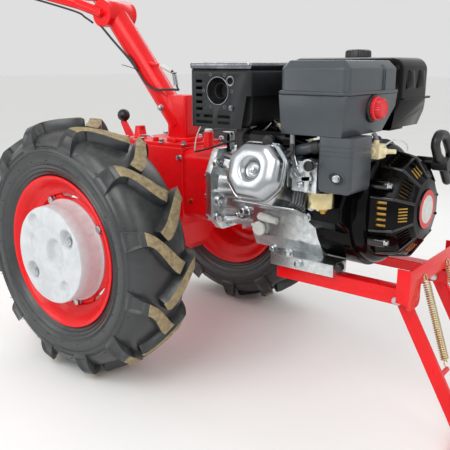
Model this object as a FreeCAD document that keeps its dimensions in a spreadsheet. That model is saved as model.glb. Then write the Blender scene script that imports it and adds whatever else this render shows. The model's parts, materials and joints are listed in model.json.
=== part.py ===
"""Walking tractor: gearbox on two wheels, petrol engine in front, swivelling handlebar, folding stand.

X points forward, Y to the left and Z up, in millimetres, with Z 0 at the ground and the origin in the
middle of the whole machine. Each group is drawn from a datum of its own: the wheels and the gear case
from the axle, the engine and the front frame from the rear face of the crankcase at the crankshaft,
and the steering from the top of its swivel flange.
"""
import FreeCAD, Part
import math
import os
import re

import Sketcher

doc = FreeCAD.newDocument("walking_tractor")
sizes = doc.addObject("Spreadsheet::Sheet", "Sizes")

# Driving sizes, millimetres and degrees: name, value, what it is.
SIZES = [
    ("axle_x", 69.5, "axle in front of the middle of the machine"),
    ("engine_x", 330, "axle to the rear face of the crankcase"),
    ("crank_rise", 128, "crankshaft above the axle"),
    ("fit", 0.06, "running clearance of a shaft in its bore"),
    # Wheels, from the middle of the tyre.
    ("half_track", 304, "centre plane to the middle of a tyre"),
    ("tyre_radius", 290, "ground to axle, over the lugs"),
    ("tyre_half", 82, "half of the section width"),
    ("crown_radius", 268, "tyre crown between the lugs"),
    ("shoulder_half", 64, "half width of the tread at its shoulder"),
    ("shoulder_radius", 260, "tyre shoulder between the lugs"),
    ("belly_high", 228, "outer end of the widest part of the sidewall"),
    ("belly_low", 202, "inner end of it"),
    ("lug_count", 12, "lugs on each side"),
    ("lug_shoulder_radius", 277, "lug top at the shoulder"),
    ("lug_sweep", 16, "degrees from a lug's centre end to its shoulder"),
    ("lug_half", 11, "half width of a lug's top"),
    ("lug_flare", 4, "added to that at the foot"),
    ("lug_past", 20, "how far a lug passes the middle of the tread"),
    ("bead_radius", 152, "rim seat of the tyre"),
    ("rim_half", 70, "half width over the rim flanges"),
    ("rim_flange", 172, "radius of the rim flange"),
    ("rim_wall", 4, "rim plate"),
    ("well_radius", 132, "rim well"),
    ("well_half", 34, "half width of the well"),
    ("well_slope", 8, "width of the slope beside the well"),
    ("disc_offset", -36, "rim middle to the outer face of the disc"),
    ("disc_plate", 6, "wheel disc"),
    ("weight_radius", 110, "wheel weight"),
    ("weight_face", 96, "rim middle to the weight's outer face"),
    ("weight_slope", 6, "chamfer of the weight's outer edge"),
    ("weight_ring", 6, "step of the weight's inner ring"),
    ("weight_step", 56, "outer face to that ring"),
    ("weight_dimples", 4, "round recesses in the weight"),
    ("dimple_circle", 80, "axle to a recess"),
    ("dimple_radius", 13, "recess"),
    ("dimple_depth", 9, "its depth"),
    ("hub_flange", 62, "hub flange radius"),
    ("hub_plate", 10, "hub flange thickness"),
    ("hub_sleeve", 32, "hub sleeve radius"),
    ("hub_gap", 5, "hub sleeve to axle housing"),
    ("shaft_radius", 17.5, "axle shaft"),
    ("shaft_depth", 34, "axle shaft end inside the housing"),
    # Gear case, from the axle.
    ("case_rear", 112, "gear case behind the axle"),
    ("case_front", 104, "gear case in front of the axle"),
    ("case_top", 210, "gear case top above the axle"),
    ("case_half", 80, "half width of the gear case"),
    ("case_round", 14, "gear case edge radius"),
    ("case_waist", 10, "height where the case narrows to its sump"),
    ("sump_depth", 75, "lowest point of the case below the axle"),
    ("sump_slope", 25, "height of the sump's slope"),
    ("sump_rear", 40, "sump floor behind the axle"),
    ("sump_front", 36, "sump floor in front of the axle"),
    ("clutch_low", 38, "clutch housing's lower side"),
    ("clutch_top", 207, "clutch housing's upper side"),
    ("clutch_half", 76, "clutch housing half width"),
    ("clutch_front", 197, "clutch housing's front"),
    ("clutch_round", 24, "its edge radius"),
    ("neck_front", 213, "front of the neck"),
    ("neck_step", 8, "neck inside the clutch housing's outline"),
    ("filler_x", 137, "oil filler boss in front of the axle"),
    ("filler_y", 20, "filler boss to the right"),
    ("filler_radius", 12, "filler boss"),
    ("filler_top", 246, "top of the filler boss"),
    ("cover_plate", 8, "gear case cover thickness"),
    ("cover_lip", 5, "case edge round the cover"),
    ("guide_x", 98, "shift rod guide behind the axle"),
    ("guide_half", 12, "half length of the guide"),
    ("guide_rise", 30, "guide above the cover"),
    ("housing_flange", 66, "axle housing flange radius"),
    ("housing_end", 230, "centre plane to the housing's end"),
    ("housing_radius", 44, "axle housing radius"),
    ("flange_plate", 12, "bolted flange thickness"),
    ("flange_step", 8, "collar radius over the housing's"),
    ("collar_length", 18, "end collar of the axle housing"),
    # Engine and front frame, from the rear face of the crankcase at the crankshaft.
    ("adapter_plate", 15, "adapter flange thickness"),
    ("adapter_half", 122, "adapter flange half width"),
    ("adapter_top", 92, "adapter flange top above the crank"),
    ("adapter_low", 96, "adapter flange bottom below the crank"),
    ("adapter_corner", 26, "corner cut at its top"),
    ("adapter_foot", 40, "corner cut at its bottom"),
    ("bell_radius", 98, "bell at the adapter flange"),
    ("bell_end", 84, "bell at the engine"),
    ("bell_ring", 92, "bell's ring on the engine"),
    ("bell_ring_plate", 14, "thickness of that ring"),
    ("bell_ribs", 8, "ribs round the bell"),
    ("bell_rib_half", 3, "half thickness of a rib"),
    ("bell_rib_rise", 112, "rib at the flange"),
    ("crank_length", 170, "crankcase length"),
    ("crank_near", 100, "crankcase right side from the crank"),
    ("crank_far", 90, "crankcase left side from the crank"),
    ("crank_low", 113, "crankcase underside"),
    ("crank_top", 102, "crankcase top"),
    ("crank_bevel", 30, "slope of its upper and lower edges"),
    ("crank_round", 8, "crankcase edge radius"),
    ("foot_rear", 65, "engine feet, rear end"),
    ("foot_front", 214, "engine feet, front end"),
    ("foot_inner", 70, "engine feet, inner edge"),
    ("foot_outer", 125, "engine feet, outer edge"),
    ("foot_rise", 2, "engine feet over the crankcase underside"),
    ("rail_drop", 136, "crank to the top of the frame rails"),
    ("cylinder_x", 115, "cylinder axis in front of the crankcase rear"),
    ("cylinder_tilt", 18.5, "cylinder above the horizontal"),
    ("deck_half", 58, "crankcase deck, half width"),
    ("cylinder_start", 132, "crank to cylinder foot"),
    ("cylinder_radius", 42, "barrel radius"),
    ("head_start", 198, "crank to cylinder head"),
    ("head_end", 258, "crank to the top of the head"),
    ("fin_count", 6, "barrel fins"),
    ("fin_pitch", 11, "fin spacing"),
    ("fin_plate", 3, "fin thickness"),
    ("fin_half_x", 46, "fin half length"),
    ("fin_half_y", 56, "fin half height"),
    ("fin_corner", 14, "corner cut of head and fins"),
    ("rocker_flange", 6, "rocker cover flange"),
    ("rocker_lip", 4, "flange outside the cover"),
    ("rocker_end", 288, "crank to the rocker cover's face"),
    ("rocker_half_x", 57, "rocker cover half length"),
    ("rocker_half_y", 52, "rocker cover half height"),
    ("rocker_corner", 28, "its corner cut"),
    ("rocker_slope", 13, "chamfer round its face"),
    ("rocker_dimple", 15, "round recess of its bolt"),
    ("rocker_sink", 7, "depth of that recess"),
    ("shield_half", 54, "half length of the polished plate under the cylinder"),
    ("shield_plate", 3, "its thickness"),
    ("shield_start", 136, "crank to that plate"),
    ("shield_end", 240, "crank to its outer end"),
    ("shield_wing", 26, "how far it passes the fins in front"),
    ("shield_notch", 176, "crank to the wing"),
    ("volute_radius", 130, "fan housing scroll"),
    ("volute_front", 245, "front of the scroll"),
    ("flank_y", 165, "scroll's side, to the right"),
    ("flank_low", 14, "lower end of that side below the crank"),
    ("flank_high", 16, "its upper end above the crank"),
    ("throat_y", 140, "scroll's side beside the carburettor"),
    ("throat_low", 52, "lower end of that side"),
    ("throat_high", 117, "its upper end"),
    ("scroll_y", 40, "where the scroll meets its round, to the right"),
    ("drum_radius", 122, "fan cover radius"),
    ("drum_front", 272, "fan cover front"),
    ("drum_round", 16, "fan cover edge radius"),
    ("ring_base", 108, "recoil starter base"),
    ("ring_step", 100, "its shoulder"),
    ("ring_face", 62, "its face"),
    ("starter_shoulder", 318, "starter shoulder in front of the crankcase rear"),
    ("starter_front", 344, "its face"),
    ("badge_radius", 40, "round disc on the starter"),
    ("badge_plate", 3, "its thickness"),
    ("window_panels", 5, "slotted panels on the side and on the face"),
    ("slot_pitch", 11, "slots of a side panel"),
    ("slot_high", 6.5, "slot height"),
    ("slot_back", 286, "rear end of the slots"),
    ("slot_long", 19, "slot length"),
    ("slot_deep", 16, "slot depth"),
    ("face_pitch", 7.5, "slots of a face panel"),
    ("face_slot", 4, "their width"),
    ("face_inner", 68, "their inner end"),
    ("face_outer", 90, "their outer end"),
    ("face_floor", 314, "their floor"),
    ("guide_y", 50, "starter rope guide, to the left"),
    ("guide_z", 84, "rope guide above the crank"),
    ("guide_radius", 12, "rope guide"),
    ("guide_back", 300, "its rear end"),
    ("guide_front", 334, "its front"),
    ("pull_x", 350, "middle of the pull handle"),
    ("pull_radius", 9, "pull handle's thickness"),
    ("pull_collar", 14, "collar of the pull handle"),
    ("tank_rear", 4, "fuel tank rear"),
    ("tank_front", 266, "fuel tank front"),
    ("tank_right", 10, "fuel tank, right side"),
    ("tank_left", 176, "fuel tank, left side"),
    ("tank_low", 149, "fuel tank bottom"),
    ("tank_lower", 57, "fuel tank bottom to its seam"),
    ("tank_upper", 83, "fuel tank seam to its top"),
    ("tank_taper", 16, "how much narrower its bottom is on each side"),
    ("tank_round", 26, "tank edge radius"),
    ("seam_plate", 4, "tank seam thickness"),
    ("seam_lip", 8, "tank seam width"),
    ("cap_radius", 32, "fuel cap"),
    ("cap_height", 18, "fuel cap height"),
    ("port_y", 196, "intake and exhaust ports to the right"),
    ("port_z", 82, "ports above the crank"),
    ("carb_radius", 20, "carburettor throat"),
    ("carb_end", 236, "front end of the throat in the elbow"),
    ("carb_half", 24, "half width of the carburettor body"),
    ("carb_rise", 24, "top of that body above its throat"),
    ("bowl_x", 219, "float bowl in front of the crankcase rear"),
    ("bowl_radius", 26, "float bowl"),
    ("bowl_top", 31, "throat to the top of the bowl"),
    ("bowl_deep", 60, "throat to the bottom of the bowl"),
    ("nut_radius", 8, "nut under the bowl"),
    ("nut_high", 7, "its height"),
    ("elbow_back", 224, "intake elbow rear"),
    ("elbow_front", 290, "intake elbow front"),
    ("elbow_far", 143, "intake elbow far side"),
    ("elbow_below", 29, "throat to the elbow's underside"),
    ("elbow_above", 70, "throat to the air cleaner"),
    ("elbow_round", 10, "its edge radius"),
    ("elbow_corner", 8, "radius round its near face"),
    ("cleaner_rear", 139, "air cleaner rear"),
    ("cleaner_front", 276, "air cleaner front"),
    ("cleaner_near", 220, "air cleaner near side, to the right"),
    ("cleaner_far", 14, "its far side, to the right"),
    ("cleaner_rise", 71, "height of the base under its cover"),
    ("cleaner_lid", 59, "height of the cover"),
    ("cleaner_taper", 7, "how much narrower the base is at its foot"),
    ("cleaner_cut", 46, "slope of the base's far lower edge"),
    ("cleaner_round", 16, "its edge radius"),
    ("cleaner_band", 4, "cover's edge band, proud of the wall"),
    ("band_high", 6, "height of that band"),
    ("lid_slope", 14, "chamfer of the cover's top"),
    ("knob_radius", 20, "air cleaner knob"),
    ("knob_y", 110, "knob to the right of the middle"),
    ("knob_rise", 46, "knob above the base's foot"),
    ("knob_reach", 18, "knob length"),
    ("guard_rear", 75, "muffler guard behind the crankcase rear"),
    ("guard_front", 76, "muffler guard in front of it"),
    ("guard_near", 220, "guard near side"),
    ("guard_far", 40, "guard far side"),
    ("guard_low", 154, "guard underside above the crank"),
    ("guard_high", 124, "guard height"),
    ("guard_slope", 17, "chamfer of the guard's top"),
    ("guard_round", 12, "its upright edges on the near side"),
    ("guard_sheet", 2, "guard sheet"),
    ("guard_gap", 10, "guard to muffler"),
    ("guard_step", 63, "height of the step in its front edge"),
    ("guard_notch", 9, "width of that step"),
    ("guard_rake", 12, "slope of the edge under the step"),
    ("outlet_x", 73, "exhaust outlet from the guard's rear edge"),
    ("outlet_rise", 71, "outlet above the guard's underside"),
    ("outlet_radius", 25, "round hole at the outlet"),
    ("outlet_pipe", 16, "outlet pipe"),
    ("roof_slots", 7, "slots in the guard's roof"),
    ("roof_pitch", 15, "their spacing"),
    ("roof_slot", 6, "their width"),
    ("roof_long", 22, "their length"),
    ("muffler_round", 20, "muffler edge radius"),
    ("muffler_stud", 6, "spacer between muffler and guard"),
    ("stud_inset", 30, "guard edge to a spacer"),
    ("stud_rise", 22, "guard underside to a spacer"),
    ("pipe_radius", 14, "exhaust pipe"),
    ("pipe_x", 44, "exhaust pipe in front of the crankcase rear"),
    ("bracket_plate", 4, "tank bracket sheet"),
    ("bracket_right", 20, "tank bracket, right edge"),
    ("bracket_left", 84, "tank bracket, left edge"),
    ("bracket_inset", 20, "bracket legs from the crankcase ends"),
    ("rail_start", 70, "frame rails, rear end"),
    ("rail_out", 108, "rail outer face"),
    ("rail_high", 32, "rail height"),
    ("rail_wall", 4, "rail plate"),
    ("rail_flange", 32, "rail upper flange width"),
    ("plate_back", 370, "front plate's rear face"),
    ("plate_wall", 4, "front plate"),
    ("plate_half", 128, "front plate half width"),
    ("plate_above", 46, "front plate's upper edge above the rails"),
    ("plate_edge", 8, "its lower edge above the rails' top"),
    ("ear_inner", 74, "inner edge of an ear"),
    ("ear_drop", 34, "ear below the rails' top"),
    ("ear_round", 14, "ear corner radius"),
    ("cheek_back", 326, "rear end of the plates beside the stand pins"),
    ("cheek_top", 6, "their upper edge below the rails' top"),
    ("pivot_x", 346, "stand pivot"),
    ("pivot_drop", 158, "stand pivot below the crank"),
    ("pin_radius", 8, "stand pin"),
    ("pin_head", 5, "stand pin outside the rail"),
    ("leg_y", 91, "stand leg from the middle"),
    ("leg_plate", 10, "stand leg thickness"),
    ("leg_half", 13, "half width of a leg"),
    ("leg_play", 0.1, "clearance of the leg on its pin"),
    ("stand_x", 485, "stand foot"),
    ("foot_bar", 11, "stand cross bar radius"),
    ("foot_bar_half", 130, "half length of the cross bar"),
    ("lug_pin", 5, "spring pin on a leg"),
    ("lug_along", 160, "pivot to the spring pin, along the leg"),
    ("lug_across", 8, "spring pin in front of the leg's middle"),
    ("lug_inner", 54, "inner end of the spring pin"),
    ("spring_radius", 7.5, "stand spring"),
    ("spring_y", 62, "spring from the middle"),
    ("spring_top", 28, "spring's upper end above the rails' top"),
    ("spring_gap", 0.3, "spring to plate and to its pin"),
    # Steering, from the top of the swivel flange.
    ("swivel_x", 42, "steering swivel in front of the axle"),
    ("swivel_flange", 46, "swivel flange radius"),
    ("swivel_plate", 10, "swivel flange thickness"),
    ("spigot_radius", 19, "swivel spigot"),
    ("spigot_length", 70, "swivel spigot length"),
    ("head_half", 27, "half width of the swivel block"),
    ("head_back", 37, "swivel block behind the swivel axis"),
    ("head_play", 0.3, "swivel block over the flange"),
    ("head_high", 102, "top of the swivel block"),
    ("head_round", 8, "its edge radius"),
    ("column_radius", 30, "column tube"),
    ("column_lean", 49.8, "column above the horizontal"),
    ("column_foot_x", 8, "column axis foot behind the swivel axis"),
    ("column_foot_z", 27, "column axis foot above the flange"),
    ("column_length", 363, "foot to the height pivot"),
    ("clamp_radius", 34, "height clamp disc"),
    ("clamp_half", 34, "half length of the cross tube"),
    ("clamp_plate", 12, "clamp disc thickness"),
    ("clamp_gap", 0.3, "between the clamp faces"),
    ("clamp_bolt", 8, "clamp bolt radius"),
    ("bolt_end", 12, "clamp bolt outside the discs"),
    ("bar_radius", 14, "handlebar tube"),
    ("bar_bend", 70, "handlebar bend radius"),
    ("arm_start", 40, "arm from the middle at the clamp"),
    ("arm_near_back", 90, "first bend behind the clamp"),
    ("arm_near_side", 46, "first bend from the middle"),
    ("arm_near_rise", 28, "first bend above the clamp"),
    ("arm_mid_back", 330, "second bend behind the clamp"),
    ("arm_mid_side", 190, "second bend from the middle"),
    ("arm_mid_rise", 104, "second bend above the clamp"),
    ("arm_far_back", 600, "third bend behind the clamp"),
    ("arm_far_side", 262, "third bend from the middle"),
    ("arm_far_rise", 176, "third bend above the clamp"),
    ("arm_end_back", 756, "handlebar end behind the clamp"),
    ("arm_end_side", 274, "handlebar end from the middle"),
    ("arm_end_rise", 222, "handlebar end above the clamp"),
    ("brace_radius", 11, "brace between the arms"),
    ("brace_share", 0.45, "where the brace is between the first two bends"),
    ("grip_radius", 18.5, "rubber grip"),
    ("grip_length", 120, "grip length"),
    ("grip_cap", 4, "rubber behind the tube's end"),
    ("perch_radius", 20, "lever clamp"),
    ("perch_half", 12, "half length of the lever clamp"),
    ("perch_gap", 2, "lever clamp to grip"),
    ("perch_drop", 44, "lever hinge below the tube"),
    ("perch_wall", 6, "half thickness of the hinge"),
    ("lever_radius", 4.5, "control lever rod"),
    ("lever_knee", 50, "lever's bend in front of its hinge"),
    ("lever_reach", 132, "lever's end"),
    ("lever_sink", 52, "lever below the tube"),
    # Gear lever, clutch arm and hitch, from the axle.
    ("shift_y", 20, "gear lever to the right of the middle"),
    ("shift_plate", 5, "half thickness of the gear lever's foot"),
    ("shift_root", 176, "lower edge of the lever's foot"),
    ("shift_foot", 20, "height of the foot at the case"),
    ("shift_back", 170, "upper end of the foot behind the axle"),
    ("shift_knee", 232, "upper end of the foot"),
    ("shift_rod", 5, "thin rods of the lever"),
    ("shift_link", 30, "link rod above the case top"),
    ("shift_link_end", 76, "its front end behind the axle"),
    ("ball_x", 160, "gear lever ball behind the axle"),
    ("ball_z", 272, "gear lever ball above the axle"),
    ("ball_radius", 16.5, "gear lever ball"),
    ("ball_flat", 68, "degrees below its middle where the ball is flat"),
    ("arm_y", 60, "clutch arm to the right"),
    ("arm_half", 7, "half width of the clutch arm"),
    ("arm_plate", 3, "its thickness"),
    ("arm_low", 84, "its lower end above the crank"),
    ("arm_high", 128, "its upper end"),
    ("arm_hook", 24, "length of its bent end"),
    ("hitch_half", 70, "half width of the hitch plate"),
    ("hitch_low", 10, "hitch plate below the axle"),
    ("hitch_top", 150, "hitch plate above the axle"),
    ("hitch_round", 12, "its corner radius"),
    ("hitch_reach", 110, "hitch socket behind the case"),
    ("socket_half", 45, "half width of the hitch socket"),
    ("socket_low", 10, "hitch socket's underside"),
    ("socket_high", 60, "hitch socket's height"),
    ("socket_pin", 10, "radius of the hitch pin's bore"),
    ("socket_pin_x", 78, "that bore behind the case"),
    ("power_radius", 14, "output shaft"),
    ("power_length", 56, "its length"),
    ("power_drop", 85, "output shaft below the case top"),
]

for row, (name, number, meaning) in enumerate(SIZES, 1):
    sizes.set(f"A{row}", name)
    sizes.set(f"B{row}", str(number))
    sizes.set(f"C{row}", meaning)
    sizes.setAlias(f"B{row}", name)
doc.recompute()
NAMES = {name for name, _, _ in SIZES}

# Where each group's datum is in the machine.
AXLE = "axle_x, 0, tyre_radius"
WHEEL = "axle_x, -half_track, tyre_radius"
ENGINE = "axle_x + engine_x, 0, tyre_radius + crank_rise"
CYLINDER = "axle_x + engine_x + cylinder_x, 0, tyre_radius + crank_rise"
STEERING = "axle_x + swivel_x, 0, tyre_radius + case_top + cover_plate + swivel_plate"


def full(formula):
    """The formula with each size's name written as a cell of the sheet."""
    return re.sub(r"[a-z_]+", lambda word: ("Sizes." if word[0] in NAMES else "") + word[0], str(formula))


def size(formula):
    return float(sizes.evalExpression(str(formula)))


def bind(item, field, formula):
    item.setExpression(field, full(formula))


def split(pair):
    return [text.strip() for text in pair.split(",")]


def new_body(label):
    body = doc.addObject("PartDesign::Body", label)
    body.Label = label
    return body


def sketch_on(body, plane, offset):
    """A sketch parallel to an origin plane: XY looks along Z, YZ along X, XZ along minus Y."""
    sketch = body.newObject("Sketcher::SketchObject", "outline")
    origin = next(item for item in body.Origin.OriginFeatures if item.Role == plane + "_Plane")
    sketch.AttachmentSupport = [(origin, "")]
    sketch.MapMode = "FlatFace"
    bind(sketch, "AttachmentOffset.Base.z", f"-({offset})" if plane == "XZ" else offset)
    return sketch


def draw_corners(sketch, corners):
    """A closed outline, each corner held by two bound distances."""
    pairs = [split(corner) for corner in corners]
    spots = [FreeCAD.Vector(size(across), size(up), 0) for across, up in pairs]
    first = sketch.GeometryCount
    count = len(spots)
    for index in range(count):
        sketch.addGeometry(Part.LineSegment(spots[index], spots[(index + 1) % count]), False)
    for index in range(count):
        following = first + (index + 1) % count
        sketch.addConstraint(Sketcher.Constraint("Coincident", first + index, 2, following, 1))
    for index, (pair, spot) in enumerate(zip(pairs, spots)):
        for kind, formula, number in (("DistanceX", pair[0], spot.x), ("DistanceY", pair[1], spot.y)):
            place = sketch.addConstraint(
                Sketcher.Constraint(kind, -1, 1, first + index, 1, number))
            bind(sketch, f"Constraints[{place}]", formula)


def draw_circle(sketch, centre, radius):
    across, up = split(centre)
    spot = FreeCAD.Vector(size(across), size(up), 0)
    circle = sketch.addGeometry(Part.Circle(spot, FreeCAD.Vector(0, 0, 1), size(radius)), False)
    for kind, formula, number in (("DistanceX", across, spot.x), ("DistanceY", up, spot.y)):
        place = sketch.addConstraint(Sketcher.Constraint(kind, -1, 1, circle, 3, number))
        bind(sketch, f"Constraints[{place}]", formula)
    place = sketch.addConstraint(Sketcher.Constraint("Radius", circle, size(radius)))
    bind(sketch, f"Constraints[{place}]", radius)


def between(body, plane, low, high, draw, cut=False):
    """Pad, or pocket, what draw puts in a sketch, from low to high along the plane's axis."""
    sketch = sketch_on(body, plane, high if plane == "XZ" else low)
    draw(sketch)
    feature = body.newObject("PartDesign::Pocket" if cut else "PartDesign::Pad", "step")
    feature.Profile = sketch
    feature.Reversed = bool(cut)
    bind(feature, "Length", f"({high}) - ({low})")
    before = body.Tip.BaseFeature.Shape.Volume if cut else 0
    doc.recompute()
    if cut and not feature.Shape.Volume < before - 0.01:
        raise ValueError(f"{body.Label}: a pocket cuts nothing")
    return feature


def slab(body, plane, corners, low, high, cut=False):
    return between(body, plane, low, high, lambda sketch: draw_corners(sketch, corners), cut)


def disc(body, plane, centre, radius, low, high, cut=False):
    return between(body, plane, low, high, lambda sketch: draw_circle(sketch, centre, radius), cut)


def rectangle(left, right, bottom, top):
    return [f"{left}, {bottom}", f"{right}, {bottom}", f"{right}, {top}", f"{left}, {top}"]


def windows(body, plane, frames, low, high):
    """A pocket with several rectangles: each frame is left, right, bottom and top."""
    def draw(sketch):
        for frame in frames:
            draw_corners(sketch, rectangle(*frame))
    return between(body, plane, low, high, draw, True)


def turned(body, plane, corners, axis):
    """Revolve an outline round the sketch's H_Axis or V_Axis."""
    sketch = sketch_on(body, plane, "0")
    draw_corners(sketch, corners)
    feature = body.newObject("PartDesign::Revolution", "turn")
    feature.Profile = sketch
    feature.ReferenceAxis = (sketch, [axis])
    feature.Angle = 360
    doc.recompute()
    return feature


def lofted(body, plane, sections):
    """A ruled loft through outlines: each is a place along the plane's axis, and corners."""
    sketches = []
    for place, corners in sections:
        sketch = sketch_on(body, plane, place)
        draw_corners(sketch, corners)
        sketches.append(sketch)
    feature = body.newObject("PartDesign::AdditiveLoft", "loft")
    feature.Profile = sketches[0]
    feature.Sections = sketches[1:]
    feature.Ruled = True
    doc.recompute()
    return feature


AXES = {"x": FreeCAD.Vector(1, 0, 0), "y": FreeCAD.Vector(0, 1, 0), "z": FreeCAD.Vector(0, 0, 1)}


def edge_middle(edge):
    return edge.valueAt((edge.FirstParameter + edge.LastParameter) / 2)


def runs_along(edge, axis):
    """Whether an edge is straight and parallel to an axis."""
    if len(edge.Vertexes) < 2:
        return False
    span = edge.Vertexes[-1].Point - edge.Vertexes[0].Point
    return abs(span.Length - edge.Length) < 0.001 and abs(abs(span.dot(axis)) - span.Length) < 0.001


def rounded(body, radius, along="", where=None, kind="Fillet"):
    """Round the straight edges along an axis, or every edge, that where() accepts by its middle."""
    shape = body.Tip.Shape
    chosen = []
    for number, edge in enumerate(shape.Edges, 1):
        if along and not runs_along(edge, AXES[along]):
            continue
        if where is None or where(edge_middle(edge)):
            chosen.append(f"Edge{number}")
    before = body.Tip
    feature = body.newObject("PartDesign::" + kind, "soft_edge")
    feature.Base = (before, chosen)
    bind(feature, "Radius" if kind == "Fillet" else "Size", radius)
    doc.recompute()
    return feature


def shelled(body, wall, where):
    """Leave a wall, open at the faces that where() accepts by their middle."""
    before = body.Tip
    chosen = [f"Face{number}" for number, face in enumerate(before.Shape.Faces, 1)
              if where(face.CenterOfMass)]
    feature = body.newObject("PartDesign::Thickness", "shell")
    feature.Base = (before, chosen)
    bind(feature, "Value", wall)
    feature.Reversed = True
    feature.Join = 1
    doc.recompute()
    return feature


def ring_pattern(body, original, axis, count):
    pattern = body.newObject("PartDesign::PolarPattern", "round_row")
    pattern.Originals = [original]
    line = next(item for item in body.Origin.OriginFeatures if item.Role == axis + "_Axis")
    pattern.Axis = (line, [""])
    pattern.Angle = 360
    bind(pattern, "Occurrences", count)
    body.Tip = pattern
    doc.recompute()
    return pattern


def row_pattern(body, original, axis, count, pitch):
    pattern = body.newObject("PartDesign::LinearPattern", "row")
    pattern.Originals = [original]
    line = next(item for item in body.Origin.OriginFeatures if item.Role == axis + "_Axis")
    pattern.Direction = (line, [""])
    bind(pattern, "Occurrences", count)
    bind(pattern, "Length", f"({count} - 1) * ({pitch})")
    body.Tip = pattern
    doc.recompute()
    return pattern


def mirrored(source, label):
    """The same piece on the other side of the machine."""
    twin = doc.addObject("Part::Mirroring", label)
    twin.Source = source
    twin.Normal = FreeCAD.Vector(0, 1, 0)
    twin.Label = label
    return twin


def joined(label, *pieces):
    union = doc.addObject("Part::MultiFuse", label)
    union.Shapes = list(pieces)
    union.Label = label
    return union


def rod(label, radius, length, base, axis="z"):
    """A plain cylinder from base along an axis."""
    item = doc.addObject("Part::Cylinder", label)
    item.Label = label
    bind(item, "Radius", radius)
    bind(item, "Height", length)
    turn = {"x": ("y", 90), "y": ("x", -90), "z": ("z", 0)}[axis]
    item.Placement = FreeCAD.Placement(FreeCAD.Vector(), FreeCAD.Rotation(AXES[turn[0]], turn[1]))
    for field, formula in zip("xyz", split(base)):
        bind(item, "Placement.Base." + field, formula)
    return item


def plain_box(label, low, high):
    item = doc.addObject("Part::Box", label)
    item.Label = label
    for field, span, start, end in zip("xyz", ("Length", "Width", "Height"), split(low), split(high)):
        bind(item, span, f"({end}) - ({start})")
        bind(item, "Placement.Base." + field, start)
    return item


def spot(formula):
    return FreeCAD.Vector(*[size(text) for text in split(formula)])


def route_wire(points, bend):
    """Straight runs joined by tangent arcs. A bend that the runs are too short for is made smaller."""
    edges = []
    start = points[0]
    for before, corner, after in zip(points, points[1:], points[2:]):
        inward = (before - corner).normalize()
        outward = (after - corner).normalize()
        half = (math.pi - inward.getAngle(outward)) / 2
        room = 0.45 * min(before.distanceToPoint(corner), after.distanceToPoint(corner))
        cut = min(bend * math.tan(half), room)
        radius = cut / math.tan(half)
        first = corner + inward * cut
        last = corner + outward * cut
        centre = corner + (inward + outward).normalize() * (radius / math.cos(half))
        middle = centre + (corner - centre).normalize() * radius
        edges.append(Part.LineSegment(start, first).toShape())
        edges.append(Part.Arc(first, middle, last).toShape())
        start = last
    edges.append(Part.LineSegment(start, points[-1]).toShape())
    return Part.Wire(edges)


def tube_shape(points, radius, bend):
    path = route_wire(points, bend)
    direction = (points[1] - points[0]).normalize()
    profile = Part.Wire([Part.Circle(points[0], direction, radius).toShape()])
    return path.makePipeShell([profile], True, True)


def plain_shape(label, shape):
    item = doc.addObject("Part::Feature", label)
    item.Shape = shape
    item.Label = label
    return item


nodes = {}


def keep(item, label, datum):
    """Name a finished piece and give it its place in the machine."""
    item.Label = label
    for field, formula in zip("xyz", split(datum)):
        bind(item, "Placement.Base." + field, formula)
    nodes[label] = item
    return item


def keep_twin(source, label):
    """The mirror image of a piece that already has its place."""
    twin = mirrored(source, label)
    nodes[label] = twin
    return twin


# The right wheel, turned about its own axis, and its mirror image on the left.

# Lug sections from its centre end to the sidewall: y, degrees of sweep, top, foot, half width.
LUG_SECTIONS = [
    ("lug_past", "0", "tyre_radius", "crown_radius - 8", "lug_half - 2"),
    ("-shoulder_half * 0.4", "lug_sweep * 0.55", "tyre_radius - 2", "crown_radius - 8", "lug_half"),
    ("-shoulder_half", "lug_sweep", "lug_shoulder_radius", "shoulder_radius - 10", "lug_half"),
    ("-tyre_half + 4", "lug_sweep", "shoulder_radius - 14", "shoulder_radius - 30", "lug_half - 3"),
]


def lug(body, side, turn):
    """One lug, as a loft across the tread. Side is 1 for the outer row and -1 for the inner."""
    sections = []
    for across, sweep, top, foot, half in LUG_SECTIONS:
        angle = f"({sweep} + ({turn}))"
        corners = []
        for radius, offset in ((foot, f"{half} + lug_flare"), (top, half),
                               (top, f"-({half})"), (foot, f"-({half} + lug_flare)")):
            corners.append(f"({radius}) * cos({angle}) - ({offset}) * sin({angle}), "
                           f"({radius}) * sin({angle}) + ({offset}) * cos({angle})")
        sections.append((f"({across}) * ({side})", corners))
    return lofted(body, "XZ", sections)


tyre = new_body("tyre")
turned(tyre, "YZ", [
    "-rim_half + rim_wall + fit, bead_radius + fit",
    "rim_half - rim_wall - fit, bead_radius + fit",
    "rim_half - rim_wall - fit, rim_flange",
    "tyre_half, belly_low",
    "tyre_half, belly_high",
    "shoulder_half, shoulder_radius",
    "shoulder_half / 2, crown_radius",
    "-shoulder_half / 2, crown_radius",
    "-shoulder_half, shoulder_radius",
    "-tyre_half, belly_high",
    "-tyre_half, belly_low",
    "-rim_half + rim_wall + fit, rim_flange",
], "H_Axis")
ring_pattern(tyre, lug(tyre, 1, "0"), "Y", "lug_count")
ring_pattern(tyre, lug(tyre, -1, "-180 / lug_count"), "Y", "lug_count")
keep(tyre, "tyre_right", WHEEL)

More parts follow.
